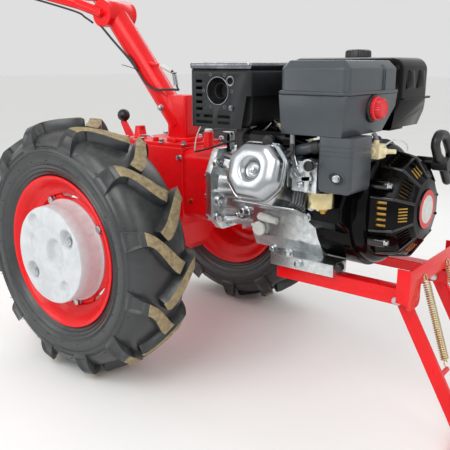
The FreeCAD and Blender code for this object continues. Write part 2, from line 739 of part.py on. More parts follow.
rim = new_body("rim")
turned(rim, "YZ", [
    "-rim_half, rim_flange",
    "-rim_half + rim_wall, rim_flange",
    "-rim_half + rim_wall, bead_radius",
    "-well_half - well_slope, bead_radius",
    "-well_half, well_radius",
    "well_half, well_radius",
    "well_half + well_slope, bead_radius",
    "rim_half - rim_wall, bead_radius",
    "rim_half - rim_wall, rim_flange",
    "rim_half, rim_flange",
    "rim_half, bead_radius - rim_wall",
    "well_half + rim_wall + well_slope, bead_radius - rim_wall",
    "well_half + rim_wall, well_radius - rim_wall",
    "-well_half - rim_wall, well_radius - rim_wall",
    "-well_half - rim_wall - well_slope, bead_radius - rim_wall",
    "-rim_half, bead_radius - rim_wall",
], "H_Axis")
turned(rim, "YZ", rectangle("disc_offset", "disc_offset + disc_plate", "hub_sleeve", "well_radius - 1"), "H_Axis")
keep(rim, "rim_right", WHEEL)

weight = new_body("weight")
turned(weight, "YZ", [
    "disc_offset, 0",
    "disc_offset, weight_radius + weight_ring",
    "-weight_face + weight_step, weight_radius + weight_ring",
    "-weight_face + weight_step - weight_ring, weight_radius",
    "-weight_face + weight_slope, weight_radius",
    "-weight_face, weight_radius - weight_slope",
    "-weight_face, 0",
], "H_Axis")
dimple = disc(weight, "XZ", "dimple_circle * cos(40), dimple_circle * sin(40)", "dimple_radius",
              "-weight_face - 1", "-weight_face + dimple_depth", cut=True)
ring_pattern(weight, dimple, "Y", "weight_dimples")
keep(weight, "weight_right", WHEEL)

hub = new_body("hub")
turned(hub, "YZ", [
    "disc_offset, 0",
    "disc_offset, hub_sleeve",
    "disc_offset + disc_plate, hub_sleeve",
    "disc_offset + disc_plate, hub_flange",
    "disc_offset + disc_plate + hub_plate, hub_flange",
    "disc_offset + disc_plate + 2 * hub_plate, hub_sleeve",
    "half_track - housing_end - hub_gap, hub_sleeve",
    "half_track - housing_end - hub_gap, shaft_radius",
    "half_track - case_half - shaft_depth, shaft_radius",
    "half_track - case_half - shaft_depth, 0",
], "H_Axis")
keep(hub, "hub_right", WHEEL)

for piece in (tyre, rim, weight, hub):
    keep_twin(piece, piece.Label.replace("_right", "_left"))

# Gearbox castings.

case = new_body("case")
slab(case, "XZ", [
    "-case_rear, case_top",
    "case_front, case_top",
    "case_front, clutch_low",
    "sump_front + 40, case_waist",
    "sump_front + 30, -sump_depth + sump_slope",
    "sump_front, -sump_depth",
    "-sump_rear, -sump_depth",
    "-sump_rear - 32, -sump_depth + sump_slope",
    "-sump_rear - 46, case_waist",
    "-case_rear, clutch_low + 15",
], "-case_half", "case_half")
rounded(case, "case_round", "", lambda p: abs(abs(p.y) - size("case_half")) < 1 and p.z < size("case_top") - 1
        and p.x < size("case_front") - 1)
keep(case, "gearbox_case", AXLE)

cover = new_body("cover")
slab(cover, "XY", rectangle("-case_rear + cover_lip", "case_front - cover_lip",
                            "-case_half + cover_lip", "case_half - cover_lip"),
     "case_top", "case_top + cover_plate")
rounded(cover, "case_round", "z")
slab(cover, "XZ", [
    "-guide_x - guide_half, case_top + cover_plate",
    "-guide_x + guide_half, case_top + cover_plate",
    "-guide_x + guide_half / 2, case_top + cover_plate + guide_rise",
    "-guide_x - guide_half / 2, case_top + cover_plate + guide_rise",
], "-shift_y - guide_half", "-shift_y + guide_half")
disc(cover, "YZ", "-shift_y, case_top + shift_link", "shift_rod + fit", "-guide_x - guide_half - 1",
     "-guide_x + guide_half + 1", cut=True)
keep(cover, "gearbox_cover", AXLE)

clutch = new_body("clutch")
slab(clutch, "YZ", rectangle("-clutch_half", "clutch_half", "clutch_low", "clutch_top"),
     "case_front", "clutch_front")
rounded(clutch, "clutch_round", "x")
slab(clutch, "YZ", rectangle("-clutch_half + neck_step", "clutch_half - neck_step",
                             "clutch_low + neck_step", "clutch_top - neck_step"),
     "clutch_front", "neck_front")
disc(clutch, "XY", "filler_x, -filler_y", "filler_radius", "clutch_top - 1", "filler_top")
keep(clutch, "clutch_housing", AXLE)

housing = new_body("housing")
turned(housing, "YZ", [
    "-case_half, 0",
    "-case_half, housing_flange",
    "-case_half - flange_plate, housing_flange",
    "-case_half - flange_plate, housing_radius + flange_step",
    "-housing_end + collar_length + 2, housing_radius",
    "-housing_end + collar_length, housing_radius + flange_step",
    "-housing_end, housing_radius + flange_step",
    "-housing_end, shaft_radius + fit",
    "-case_half - shaft_depth + 4, shaft_radius + fit",
    "-case_half - shaft_depth + 4, 0",
], "H_Axis")
keep(housing, "axle_housing_right", AXLE)
keep_twin(housing, "axle_housing_left")

# Adapter between gearbox and engine, with a ribbed bell.

ADAPTER_BACK = "(neck_front - engine_x)"
ADAPTER_FRONT = "(neck_front + adapter_plate - engine_x)"
adapter = new_body("adapter")
slab(adapter, "YZ", [
    "-adapter_half, adapter_top - 2 * adapter_corner",
    "-adapter_half + adapter_corner, adapter_top",
    "adapter_half - adapter_corner, adapter_top",
    "adapter_half, adapter_top - 2 * adapter_corner",
    "adapter_half, -adapter_low + adapter_foot",
    "adapter_half - adapter_foot, -adapter_low",
    "-adapter_half + adapter_foot, -adapter_low",
    "-adapter_half, -adapter_low + adapter_foot",
], ADAPTER_BACK, ADAPTER_FRONT)
rounded(adapter, "case_round", "x")
bell = new_body("bell")
turned(bell, "XZ", [
    f"{ADAPTER_FRONT}, 0",
    f"{ADAPTER_FRONT}, bell_radius",
    "-bell_ring_plate, bell_end",
    "-bell_ring_plate, bell_ring",
    "0, bell_ring",
    "0, 0",
], "H_Axis")
rib = slab(bell, "XZ", [
    f"{ADAPTER_FRONT}, bell_end / 2",
    f"{ADAPTER_FRONT}, bell_rib_rise",
    f"{ADAPTER_FRONT} * 0.6, bell_radius",
    "-bell_ring_plate, bell_ring",
    "-bell_ring_plate, bell_end / 2",
], "-bell_rib_half", "bell_rib_half")
ring_pattern(bell, rib, "X", "bell_ribs")
keep(joined("adapter_bell", adapter, bell), "adapter_bell", ENGINE)

# Engine.

block = new_body("block")
slab(block, "YZ", [
    "-crank_near + crank_bevel / 2, -crank_low",
    "-crank_near, -crank_low + crank_bevel",
    "-crank_near, crank_top - crank_bevel",
    "-crank_near + crank_bevel, crank_top",
    "crank_far - crank_bevel, crank_top",
    "crank_far, crank_top - crank_bevel",
    "crank_far, -crank_low + crank_bevel",
    "crank_far - crank_bevel / 2, -crank_low",
], "0", "crank_length")
rounded(block, "crank_round", "x")
deck = plain_box("crankcase_deck", "-fin_half_x, -deck_half, crank_far / 2", "fin_half_x, deck_half, cylinder_start")
deck.Placement.Rotation = FreeCAD.Rotation(AXES["x"], 90)
bind(deck, "Placement.Rotation.Angle", "90 - cylinder_tilt")
bind(deck, "Placement.Base.x", "cylinder_x - fin_half_x")
bind(deck, "Placement.Base.y", "-deck_half * sin(cylinder_tilt) - crank_far / 2 * cos(cylinder_tilt)")
bind(deck, "Placement.Base.z", "-deck_half * cos(cylinder_tilt) + crank_far / 2 * sin(cylinder_tilt)")
block_feet = []
for inner, outer in (("-foot_outer", "-foot_inner"), ("foot_inner", "foot_outer")):
    block_feet.append(plain_box("engine_foot", f"foot_rear, {inner}, -rail_drop",
                                f"foot_front, {outer}, -crank_low + foot_rise"))
keep(joined("crankcase", block, deck, *block_feet), "engine_crankcase", ENGINE)


def along_cylinder(item, label):
    """Lay a piece that is drawn upright about Z on the cylinder's axis."""
    item.Placement.Rotation = FreeCAD.Rotation(AXES["x"], 90)
    bind(item, "Placement.Rotation.Angle", "90 - cylinder_tilt")
    return keep(item, label, CYLINDER)


def cut_corners(half_x, half_y, corner):
    """A rectangle about the middle with its four corners cut off."""
    return [
        f"-({half_x}), -({half_y}) + {corner}",
        f"-({half_x}) + {corner}, -({half_y})",
        f"{half_x} - {corner}, -({half_y})",
        f"{half_x}, -({half_y}) + {corner}",
        f"{half_x}, {half_y} - {corner}",
        f"{half_x} - {corner}, {half_y}",
        f"-({half_x}) + {corner}, {half_y}",
        f"-({half_x}), {half_y} - {corner}",
    ]


barrel = new_body("barrel")
disc(barrel, "XY", "0, 0", "cylinder_radius", "cylinder_start", "head_start")
FIN = cut_corners("fin_half_x", "fin_half_y", "fin_corner")
slab(barrel, "XY", FIN, "head_start", "head_end")
fin = slab(barrel, "XY", FIN,
           "cylinder_start + 2", "cylinder_start + 2 + fin_plate")
row_pattern(barrel, fin, "Z", "fin_count", "fin_pitch")
along_cylinder(barrel, "engine_cylinder")

rocker = new_body("rocker")
slab(rocker, "XY", cut_corners("rocker_half_x + rocker_lip", "rocker_half_y + rocker_lip", "rocker_corner"),
     "head_end", "head_end + rocker_flange")
slab(rocker, "XY", cut_corners("rocker_half_x", "rocker_half_y", "rocker_corner"),
     "head_end + rocker_flange", "rocker_end")
rounded(rocker, "rocker_slope", "", lambda p: p.z > size("rocker_end") - 1, kind="Chamfer")
disc(rocker, "XY", "0, 0", "rocker_dimple", "rocker_end - rocker_sink", "rocker_end + 1", cut=True)
along_cylinder(rocker, "rocker_cover")

shield = new_body("shield")
slab(shield, "XZ", [
    "-shield_half - shield_plate, shield_start",
    "shield_half, shield_start",
    "shield_half, shield_notch",
    "shield_half + shield_wing, shield_notch + shield_wing / 2",
    "shield_half + shield_wing, shield_end",
    "-shield_half - shield_plate, shield_end",
], "-fin_half_y - shield_plate", "-fin_half_y")
along_cylinder(shield, "cylinder_shield")

drum = new_body("drum")
slab(drum, "YZ", [
    "8, -volute_radius",
    "-flank_y, -flank_low",
    "-flank_y, flank_high",
    "-throat_y, throat_low",
    "-throat_y, throat_high",
    "-scroll_y, drum_radius",
    "0, 0",
], "crank_length", "volute_front")
rounded(drum, "crank_round", "", lambda p: p.y < -size("scroll_y") - 4 and p.x > size("volute_front") - 1)
disc(drum, "YZ", "0, 0", "volute_radius", "crank_length", "volute_front")
disc(drum, "YZ", "0, 0", "drum_radius", "volute_front", "drum_front")
rounded(drum, "drum_round", "", lambda p: p.x > size("drum_front") - 1)
keep(drum, "fan_housing", ENGINE)


def ten_sided(radius):
    return [f"{radius} * cos({angle}), {radius} * sin({angle})" for angle in range(18, 378, 36)]


starter = new_body("starter")
lofted(starter, "YZ", [("drum_front", ten_sided("ring_base")),
                       ("starter_shoulder", ten_sided("ring_step")),
                       ("starter_front", ten_sided("ring_face"))])
SLOT_ROW = (-2, -1, 0, 1, 2)
side_panel = windows(starter, "XZ", [
    ("slot_back", "slot_back + slot_long",
     f"{step} * slot_pitch - slot_high / 2", f"{step} * slot_pitch + slot_high / 2")
    for step in SLOT_ROW], "-ring_base", "-ring_step + slot_deep")
ring_pattern(starter, side_panel, "X", "window_panels")
face_panel = windows(starter, "YZ", [
    ("face_inner", "face_outer",
     f"{step} * face_pitch - face_slot / 2", f"{step} * face_pitch + face_slot / 2")
    for step in SLOT_ROW], "face_floor", "starter_front + 1")
ring_pattern(starter, face_panel, "X", "window_panels")
disc(starter, "YZ", "0, 0", "badge_radius", "starter_front", "starter_front + badge_plate")
disc(starter, "YZ", "guide_y, guide_z", "guide_radius", "guide_back", "guide_front")
keep(starter, "recoil_starter", ENGINE)

# The pull handle's loop from its collar and back, to the left of the guide and above it.
PULL_ROUTE = [(0, 5), (-28, 20), (-46, 44), (-28, 61), (6, 57), (42, 22), (56, -26), (42, -44), (10, -8)]
pull_points = [FreeCAD.Vector(size("pull_x"), size("guide_y") + left, size("guide_z") + up)
               for left, up in PULL_ROUTE]
collar = Part.makeCylinder(size("pull_collar"), size("2 * (pull_x - guide_front)"),
                           spot("guide_front, guide_y, guide_z"), AXES["x"])
keep(plain_shape("pull", collar.fuse(tube_shape(pull_points, size("pull_radius"), 20))),
     "starter_handle", ENGINE)

# Fuel tank: a tapered lower half, a rolled seam and a rounded upper half.

SEAM = "(tank_low + tank_lower)"
tank = new_body("tank")
lofted(tank, "XY", [
    ("tank_low", rectangle("tank_rear + tank_taper", "tank_front - tank_taper",
                           "tank_right + tank_taper", "tank_left - tank_taper")),
    (SEAM, rectangle("tank_rear", "tank_front", "tank_right", "tank_left"))])
slab(tank, "XY", rectangle("tank_rear", "tank_front", "tank_right", "tank_left"),
     SEAM, f"{SEAM} + tank_upper")
rounded(tank, "tank_round", "", lambda p: p.z > size(SEAM) + 1)
slab(tank, "XY", rectangle("tank_rear - seam_lip", "tank_front + seam_lip",
                           "tank_right - seam_lip", "tank_left + seam_lip"),
     SEAM, f"{SEAM} + seam_plate")
rounded(tank, "tank_round", "z", lambda p: abs(p.z - size(f"{SEAM} + seam_plate / 2")) < 0.5)
keep(tank, "fuel_tank", ENGINE)
cap = rod("cap", "cap_radius", "cap_height", "0, 0, 0")
keep(cap, "fuel_cap", "axle_x + engine_x + (tank_rear + tank_front) / 2, (tank_right + tank_left) / 2, "
     "tyre_radius + crank_rise + tank_low + tank_lower + tank_upper")

bracket = new_body("bracket")
slab(bracket, "XZ", [
    "bracket_inset, crank_top",
    "bracket_inset + bracket_plate, crank_top",
    "bracket_inset + bracket_plate, tank_low - bracket_plate",
    "crank_length - bracket_inset - bracket_plate, tank_low - bracket_plate",
    "crank_length - bracket_inset - bracket_plate, crank_top",
    "crank_length - bracket_inset, crank_top",
    "crank_length - bracket_inset, tank_low - bracket_plate",
    "tank_front - tank_taper, tank_low - bracket_plate",
    "tank_front - tank_taper, tank_low",
    "bracket_inset, tank_low",
], "bracket_right", "bracket_left")
keep(bracket, "tank_bracket", ENGINE)

# Air intake: cleaner on an elbow, and the carburettor between the elbow and the head.

CLEANER_LOW = "(port_z + elbow_above)"
CLEANER_SEAM = "(port_z + elbow_above + cleaner_rise)"
base = new_body("cleaner_base")
lofted(base, "XY", [
    (CLEANER_LOW, rectangle("cleaner_rear + cleaner_taper", "cleaner_front - cleaner_taper",
                            "-cleaner_near", "-cleaner_far")),
    (CLEANER_SEAM, rectangle("cleaner_rear", "cleaner_front", "-cleaner_near", "-cleaner_far"))])
slab(base, "YZ", [
    f"-cleaner_far + 1, {CLEANER_LOW} - 1",
    f"-cleaner_far + 1, {CLEANER_LOW} + cleaner_cut",
    f"-cleaner_far, {CLEANER_LOW} + cleaner_cut",
    f"-cleaner_far - cleaner_cut, {CLEANER_LOW}",
    f"-cleaner_far - cleaner_cut, {CLEANER_LOW} - 1",
], "cleaner_rear - 1", "cleaner_front + 1", cut=True)
keep(base, "air_cleaner_base", ENGINE)

lid = new_body("cleaner_lid")
slab(lid, "XY", rectangle("cleaner_rear", "cleaner_front", "-cleaner_near", "-cleaner_far"),
     CLEANER_SEAM, f"{CLEANER_SEAM} + cleaner_lid")
rounded(lid, "cleaner_round", "z")
rounded(lid, "lid_slope", "", lambda p: p.z > size(f"{CLEANER_SEAM} + cleaner_lid") - 1, kind="Chamfer")
slab(lid, "XY", rectangle("cleaner_rear - cleaner_band", "cleaner_front + cleaner_band",
                          "-cleaner_near - cleaner_band", "-cleaner_far + cleaner_band"),
     CLEANER_SEAM, f"{CLEANER_SEAM} + band_high")
rounded(lid, "cleaner_round", "z", lambda p: p.z < size(f"{CLEANER_SEAM} + band_high"))
keep(lid, "air_cleaner_cover", ENGINE)

knob = new_body("knob")
turned(knob, "XZ", [
    "0, 0",
    "0, knob_radius - 3",
    "knob_reach / 3, knob_radius - 3",
    "knob_reach / 3, knob_radius",
    "knob_reach - 3, knob_radius",
    "knob_reach, knob_radius - 3",
    "knob_reach, 0",
], "H_Axis")
keep(knob, "cleaner_knob", "axle_x + engine_x + cleaner_front, -knob_y, "
     "tyre_radius + crank_rise + port_z + elbow_above + knob_rise")

elbow = new_body("elbow")
slab(elbow, "XZ", rectangle("elbow_back", "elbow_front", "port_z - elbow_below", CLEANER_LOW),
     "-cleaner_near", "-elbow_far")
disc(elbow, "YZ", "-port_y, port_z", "carb_radius + fit", "elbow_back - 1", "carb_end", cut=True)
rounded(elbow, "elbow_round", "y", lambda p: p.z < size(CLEANER_LOW) - 1)
rounded(elbow, "elbow_corner", "z", lambda p: p.y < -size("cleaner_near") + 1)
keep(elbow, "intake_elbow", ENGINE)

PORT_FRONT = "(cylinder_x + fin_half_x)"
throat = rod("carb_throat", "carb_radius", f"carb_end - {PORT_FRONT}", f"{PORT_FRONT}, -port_y, port_z", "x")
carb_block = plain_box("carb_block", f"{PORT_FRONT} + 12, -port_y - carb_half, port_z - bowl_top",
                       "elbow_back, -port_y + carb_half, port_z + carb_rise")
flange = plain_box("carb_flange", f"{PORT_FRONT}, -port_y - carb_half - 4, port_z - carb_rise + 4",
                   f"{PORT_FRONT} + 4, -port_y + carb_half + 4, port_z + carb_rise - 4")
bowl = rod("float_bowl", "bowl_radius", "bowl_deep - bowl_top", "bowl_x, -port_y, port_z - bowl_deep")
nut = rod("bowl_nut", "nut_radius", "nut_high + 1", "bowl_x, -port_y, port_z - bowl_deep - nut_high")
keep(joined("carburettor_body", throat, carb_block, flange, bowl, nut), "carburettor", ENGINE)

# Exhaust: pipe, muffler and slotted guard.

guard = new_body("guard")
slab(guard, "XZ", rectangle("-guard_rear", "guard_front", "guard_low", "guard_low + guard_high"),
     "-guard_near", "-guard_far")
rounded(guard, "guard_slope", "", lambda p: p.z > size("guard_low + guard_high") - 1
        and p.y < -size("guard_far") - 1, kind="Chamfer")
rounded(guard, "guard_round", "z", lambda p: p.y < -size("guard_near") + 1)
shelled(guard, "guard_sheet", lambda p: p.z < size("guard_low") + 1 or p.y > -size("guard_far") - 1)
slab(guard, "XZ", [
    "guard_front + 1, guard_low - 1",
    "guard_front + 1, guard_low + guard_step",
    "guard_front - guard_notch, guard_low + guard_step",
    "guard_front - guard_notch - guard_rake, guard_low - 1",
], "-guard_near - 1", "-guard_far + 1", cut=True)
disc(guard, "XZ", "-guard_rear + outlet_x, guard_low + outlet_rise", "outlet_radius",
     "-guard_near - 1", "-guard_near + guard_sheet + 1", cut=True)
# Slots of the near face: from the rear edge, above the lower edge, length, height.
GUARD_SLOTS = [
    (17, 86, 17, 6), (17, 73, 17, 6), (17, 59.5, 17, 6), (17, 46, 17, 6), (17, 32.5, 17, 6),
    (17, 19, 43, 6), (17, 7, 43, 6), (73, 19, 30, 6), (73, 7, 30, 6), (98, 84, 12, 12),
]
windows(guard, "XZ", [
    (f"-guard_rear + {across}", f"-guard_rear + {across + length}",
     f"guard_low + {up}", f"guard_low + {up + height}")
    for across, up, length, height in GUARD_SLOTS],
    "-guard_near - 1", "-guard_near + guard_sheet + 1")
roof = slab(guard, "XY", rectangle(
    "-guard_rear + guard_slope + 8", "-guard_rear + guard_slope + 8 + roof_slot",
    "-guard_near + guard_slope + 6", "-guard_near + guard_slope + 6 + roof_long"),
    "guard_low + guard_high - guard_sheet - 1", "guard_low + guard_high + 1", cut=True)
row_pattern(guard, roof, "X", "roof_slots", "roof_pitch")
keep(guard, "muffler_guard", ENGINE)

muffler = new_body("muffler")
slab(muffler, "XZ", rectangle("-guard_rear + guard_gap", "guard_front - guard_gap",
                              "guard_low + guard_sheet", "guard_low + guard_high - 2 * guard_gap"),
     "-guard_near + 2 * guard_gap", "-guard_far")
rounded(muffler, "muffler_round", "y")
for across in ("-guard_rear + stud_inset", "guard_front - stud_inset - guard_rake"):
    disc(muffler, "XZ", f"{across}, guard_low + stud_rise", "muffler_stud",
         "-guard_near + guard_sheet", "-guard_near + 2 * guard_gap")
disc(muffler, "XZ", "-guard_rear + outlet_x, guard_low + outlet_rise", "outlet_pipe",
     "-guard_near + guard_gap", "-guard_near + 2 * guard_gap")
disc(muffler, "XZ", "-guard_rear + outlet_x, guard_low + outlet_rise", "outlet_pipe - guard_sheet",
     "-guard_near + guard_gap - 1", "-guard_near + 3 * guard_gap", cut=True)
keep(muffler, "muffler", ENGINE)

pipe_run = rod("pipe_run", "pipe_radius - 3", "cylinder_x - fin_half_x - pipe_x", "pipe_x, -port_y, port_z", "x")
pipe_rise = rod("pipe_rise", "pipe_radius", "guard_low + guard_sheet - port_z + pipe_radius",
                "pipe_x, -port_y, port_z - pipe_radius")
keep(joined("pipe", pipe_run, pipe_rise), "exhaust_pipe", ENGINE)

# Front frame.

rail = new_body("rail")
slab(rail, "YZ", [
    "-rail_out, -rail_drop - rail_high",
    "-rail_out + rail_wall, -rail_drop - rail_high",
    "-rail_out + rail_wall, -rail_drop - rail_wall",
    "-rail_out + rail_flange, -rail_drop - rail_wall",
    "-rail_out + rail_flange, -rail_drop",
    "-rail_out, -rail_drop",
], "rail_start", "plate_back")
disc(rail, "XZ", "pivot_x, -pivot_drop", "pin_radius + fit", "-rail_out - 1", "-rail_out + rail_wall + 1",
     cut=True)
keep(rail, "frame_rail_right", ENGINE)
keep_twin(rail, "frame_rail_left")

EAR_LOW = "(-rail_drop - ear_drop)"
PLATE_TOP = "(-rail_drop + plate_above)"
plate = new_body("plate")
slab(plate, "YZ", [
    f"-plate_half, {EAR_LOW}",
    f"-ear_inner, {EAR_LOW}",
    "-ear_inner, -rail_drop + plate_edge",
    "ear_inner, -rail_drop + plate_edge",
    f"ear_inner, {EAR_LOW}",
    f"plate_half, {EAR_LOW}",
    f"plate_half, {PLATE_TOP}",
    f"-plate_half, {PLATE_TOP}",
], "plate_back", "plate_back + plate_wall")
rounded(plate, "ear_round", "x", lambda p: p.z < size(EAR_LOW) + 1)
for low, high in (("-plate_half", "-plate_half + plate_wall"), ("plate_half - plate_wall", "plate_half")):
    slab(plate, "XZ", rectangle("pivot_x + 2", "plate_back", f"{EAR_LOW} + ear_round", PLATE_TOP), low, high)
for low, high in (("-ear_inner - plate_wall", "-ear_inner"), ("ear_inner", "ear_inner + plate_wall")):
    slab(plate, "XZ", rectangle("cheek_back", "plate_back", EAR_LOW, "-rail_drop - cheek_top"), low, high)
    disc(plate, "XZ", "pivot_x, -pivot_drop", "pin_radius + fit", f"{low} - 1", f"{high} + 1", cut=True)
keep(plate, "front_plate", ENGINE)

pin = rod("pin", "pin_radius", "rail_out - ear_inner + 2 * pin_head", "0, 0, 0", "y")
keep(pin, "stand_pin_right", "axle_x + engine_x + pivot_x, -rail_out - pin_head, "
     "tyre_radius + crank_rise - pivot_drop")
keep_twin(pin, "stand_pin_left")

# Stand: two flat legs on the pins, joined by a cross bar on the ground, with a spring beside each.

GROUND = "(-tyre_radius - crank_rise)"
REACH = "(stand_x - pivot_x)"
DROP = f"(-pivot_drop - foot_bar - {GROUND})"
LEG_LENGTH = f"sqrt({REACH} * {REACH} + {DROP} * {DROP})"
leg = new_body("leg")
slab(leg, "XZ", rectangle("-leg_half", "leg_half", f"-{LEG_LENGTH}", "0"),
     "-leg_y - leg_plate / 2", "-leg_y + leg_plate / 2")
disc(leg, "XZ", "0, 0", "leg_half", "-leg_y - leg_plate / 2", "-leg_y + leg_plate / 2")
disc(leg, "XZ", "0, 0", "pin_radius + leg_play", "-leg_y - leg_plate", "-leg_y + leg_plate", cut=True)
disc(leg, "XZ", "lug_across, -lug_along", "lug_pin", "-leg_y + leg_plate / 2 - 1", "-lug_inner")
leg.Placement.Rotation = FreeCAD.Rotation(AXES["y"], 0)
leg.setExpression("Placement.Rotation.Axis.y", "-1")
bind(leg, "Placement.Rotation.Angle", f"atan({REACH} / {DROP})")
bind(leg, "Placement.Base.x", "pivot_x")
bind(leg, "Placement.Base.z", "-pivot_drop")
bar = rod("stand_bar", "foot_bar", "2 * foot_bar_half", f"stand_x, -foot_bar_half, {GROUND} + foot_bar", "y")
keep(joined("stand", leg, mirrored(leg, "leg_twin"), bar), "stand_frame", ENGINE)

lean = math.atan2(size(REACH), size(DROP))
along, across = size("lug_along"), size("lug_across")
spring_foot = FreeCAD.Vector(size("pivot_x") + along * math.sin(lean) + across * math.cos(lean),
                             -size("spring_y"),
                             -size("pivot_drop") - along * math.cos(lean) + across * math.sin(lean))
spring_head = spot("plate_back + plate_wall + spring_radius + spring_gap, -spring_y, -rail_drop + spring_top")
run = (spring_head - spring_foot).normalize()
spring_start = spring_foot + run * size("lug_pin + spring_gap")
spring = Part.makeCylinder(size("spring_radius"), (spring_head - spring_start).Length, spring_start, run)
twin = spring.mirror(FreeCAD.Vector(), AXES["y"])
keep(plain_shape("springs", Part.makeCompound([spring, twin])), "stand_springs", ENGINE)

# Steering: a flange with a spigot on the case, and the block with the column that turns on it.

swivel = new_body("swivel")
disc(swivel, "XY", "0, 0", "swivel_flange", "-swivel_plate", "0")
disc(swivel, "XY", "0, 0", "spigot_radius", "0", "spigot_length")
keep(swivel, "steering_base", STEERING)

head = new_body("head")
slab(head, "XY", rectangle("-head_back", "head_half", "-head_half", "head_half"), "head_play", "head_high")
rounded(head, "head_round", "z")
column = rod("column", "column_radius", "column_length", "-column_foot_x, 0, column_foot_z")
column.Placement.Rotation = FreeCAD.Rotation(AXES["y"], -45)
column.setExpression("Placement.Rotation.Axis.y", "-1")
bind(column, "Placement.Rotation.Angle", "90 - column_lean")
CLAMP_X = "(-column_foot_x - column_length * cos(column_lean))"
CLAMP_Z = "(column_foot_z + column_length * sin(column_lean))"
cross = rod("cross", "clamp_radius", "2 * clamp_half", f"{CLAMP_X}, -clamp_half, {CLAMP_Z}", "y")
BOLT_HALF = "(clamp_half + clamp_plate + bolt_end)"
bolt = rod("bolt", "clamp_bolt", f"2 * {BOLT_HALF}", f"{CLAMP_X}, -{BOLT_HALF}, {CLAMP_Z}", "y")
whole = joined("column_whole", head, column, cross, bolt)
bore = rod("bore", "spigot_radius + fit", "spigot_length + 4", "0, 0, -1")
column_cut = doc.addObject("Part::Cut", "column_cut")
column_cut.Base = whole
column_cut.Tool = bore
keep(column_cut, "steering_column", STEERING)

# Handlebar: two clamp discs on the cross tube, and an arm from each.

# Points of an arm from the clamp: behind it, to the side, above it.
ARM_ROUTE = [("0", "arm_start", "0")]
ARM_ROUTE += [(f"arm_{part}_back", f"arm_{part}_side", f"arm_{part}_rise") for part in ("near", "mid", "far", "end")]


def arm_points(side):
    origin = spot(f"{CLAMP_X}, 0, {CLAMP_Z}")
    return [origin + FreeCAD.Vector(-size(back), side * size(out), size(rise)) for back, out, rise in ARM_ROUTE]


arm_shapes = []
grip_shapes = []
lever_shapes = []
for side in (-1, 1):
    points = arm_points(side)
    middle = FreeCAD.Vector(points[0].x, 0, points[0].z)
    inner = size("clamp_half + clamp_gap")
    arm = tube_shape(points, size("bar_radius"), size("bar_bend"))
    clamp = Part.makeCylinder(size("clamp_radius"), size("clamp_plate"),
                              middle + FreeCAD.Vector(0, side * inner, 0), FreeCAD.Vector(0, side, 0))
    hole = Part.makeCylinder(size("clamp_bolt + leg_play"), size(f"4 * {BOLT_HALF}"),
                             middle - FreeCAD.Vector(0, size(f"2 * {BOLT_HALF}"), 0), AXES["y"])
    gap = Part.makeCylinder(size("2 * clamp_radius"), 2 * inner, middle - FreeCAD.Vector(0, inner, 0), AXES["y"])
    arm_shapes.append(arm.fuse(clamp).cut(hole).cut(gap))
    along = (points[-1] - points[-2]).normalize()
    grip_start = points[-1] - along * size("grip_length - grip_cap")
    grip = Part.makeCylinder(size("grip_radius"), size("grip_length"), grip_start, along)
    inside = Part.makeCylinder(size("bar_radius + fit"), size("grip_length - grip_cap"), grip_start, along)
    grip_shapes.append(grip.cut(inside))
    down = FreeCAD.Vector(0, 0, -1)
    hinge = grip_start - along * size("perch_half + perch_gap")
    perch = Part.makeCylinder(size("perch_radius"), size("2 * perch_half"),
                              hinge - along * size("perch_half"), along)
    half, wall, drop = size("perch_half"), size("perch_wall"), size("perch_drop")
    perch = perch.fuse(Part.makeBox(2 * half, 2 * wall, drop, hinge + FreeCAD.Vector(-half, -wall, -drop)))
    perch = perch.cut(Part.makeCylinder(size("bar_radius + fit"), size("4 * perch_half"),
                                        hinge - along * size("2 * perch_half"), along))
    lever = tube_shape([hinge + down * size("perch_drop - perch_wall"),
                        hinge + down * size("lever_sink") + along * size("lever_knee"),
                        hinge + down * size("lever_sink") + along * size("lever_reach")],
                       size("lever_radius"), 60)
    lever_shapes.append(perch.fuse(lever))
brace_ends = []
for side in (-1, 1):
    near, far = arm_points(side)[1:3]
    brace_ends.append(near + (far - near) * size("brace_share"))
brace = Part.makeCylinder(size("brace_radius"), (brace_ends[1] - brace_ends[0]).Length, brace_ends[0], AXES["y"])
keep(plain_shape("handlebar", arm_shapes[0].fuse([arm_shapes[1], brace])), "handlebar_frame", STEERING)
keep(plain_shape("grips", Part.makeCompound(grip_shapes)), "hand_grips", STEERING)
keep(plain_shape("levers", Part.makeCompound(lever_shapes)), "control_levers", STEERING)

# Gear lever with its link rod and ball, clutch arm, and the hitch behind the case.

lever_foot = new_body("lever_foot")
slab(lever_foot, "XZ", [
    "-case_rear, shift_root",
    "-case_rear - 28, shift_root",
    "-shift_back - 8, shift_knee - 6",
    "-shift_back - 4, shift_knee",
    "-shift_back + 6, shift_knee",
    "-case_rear - 22, shift_root + shift_foot",
    "-case_rear, shift_root + shift_foot",
], "-shift_y - shift_plate", "-shift_y + shift_plate")
BALL_FOOT = "(ball_z - ball_radius * sin(ball_flat))"
lever_rod = rod("lever_rod", "shift_rod", f"{BALL_FOOT} - shift_knee + 4",
                "-ball_x - 6, -shift_y, shift_knee - 4")
lever_neck = rod("lever_neck", "shift_rod - 1", f"{BALL_FOOT} - shift_knee", "-ball_x, -shift_y, shift_knee")
link = rod("shift_link", "shift_rod", "ball_x - shift_link_end", "-ball_x, -shift_y, case_top + shift_link", "x")
lever_neck.Placement.Rotation = FreeCAD.Rotation()
keep(joined("shift_lever", lever_foot, lever_rod, lever_neck, link), "gear_lever", AXLE)

ball = doc.addObject("Part::Sphere", "ball")
bind(ball, "Radius", "ball_radius")
bind(ball, "Angle1", "-ball_flat")
keep(ball, "gear_knob", "axle_x - ball_x, -shift_y, tyre_radius + ball_z")

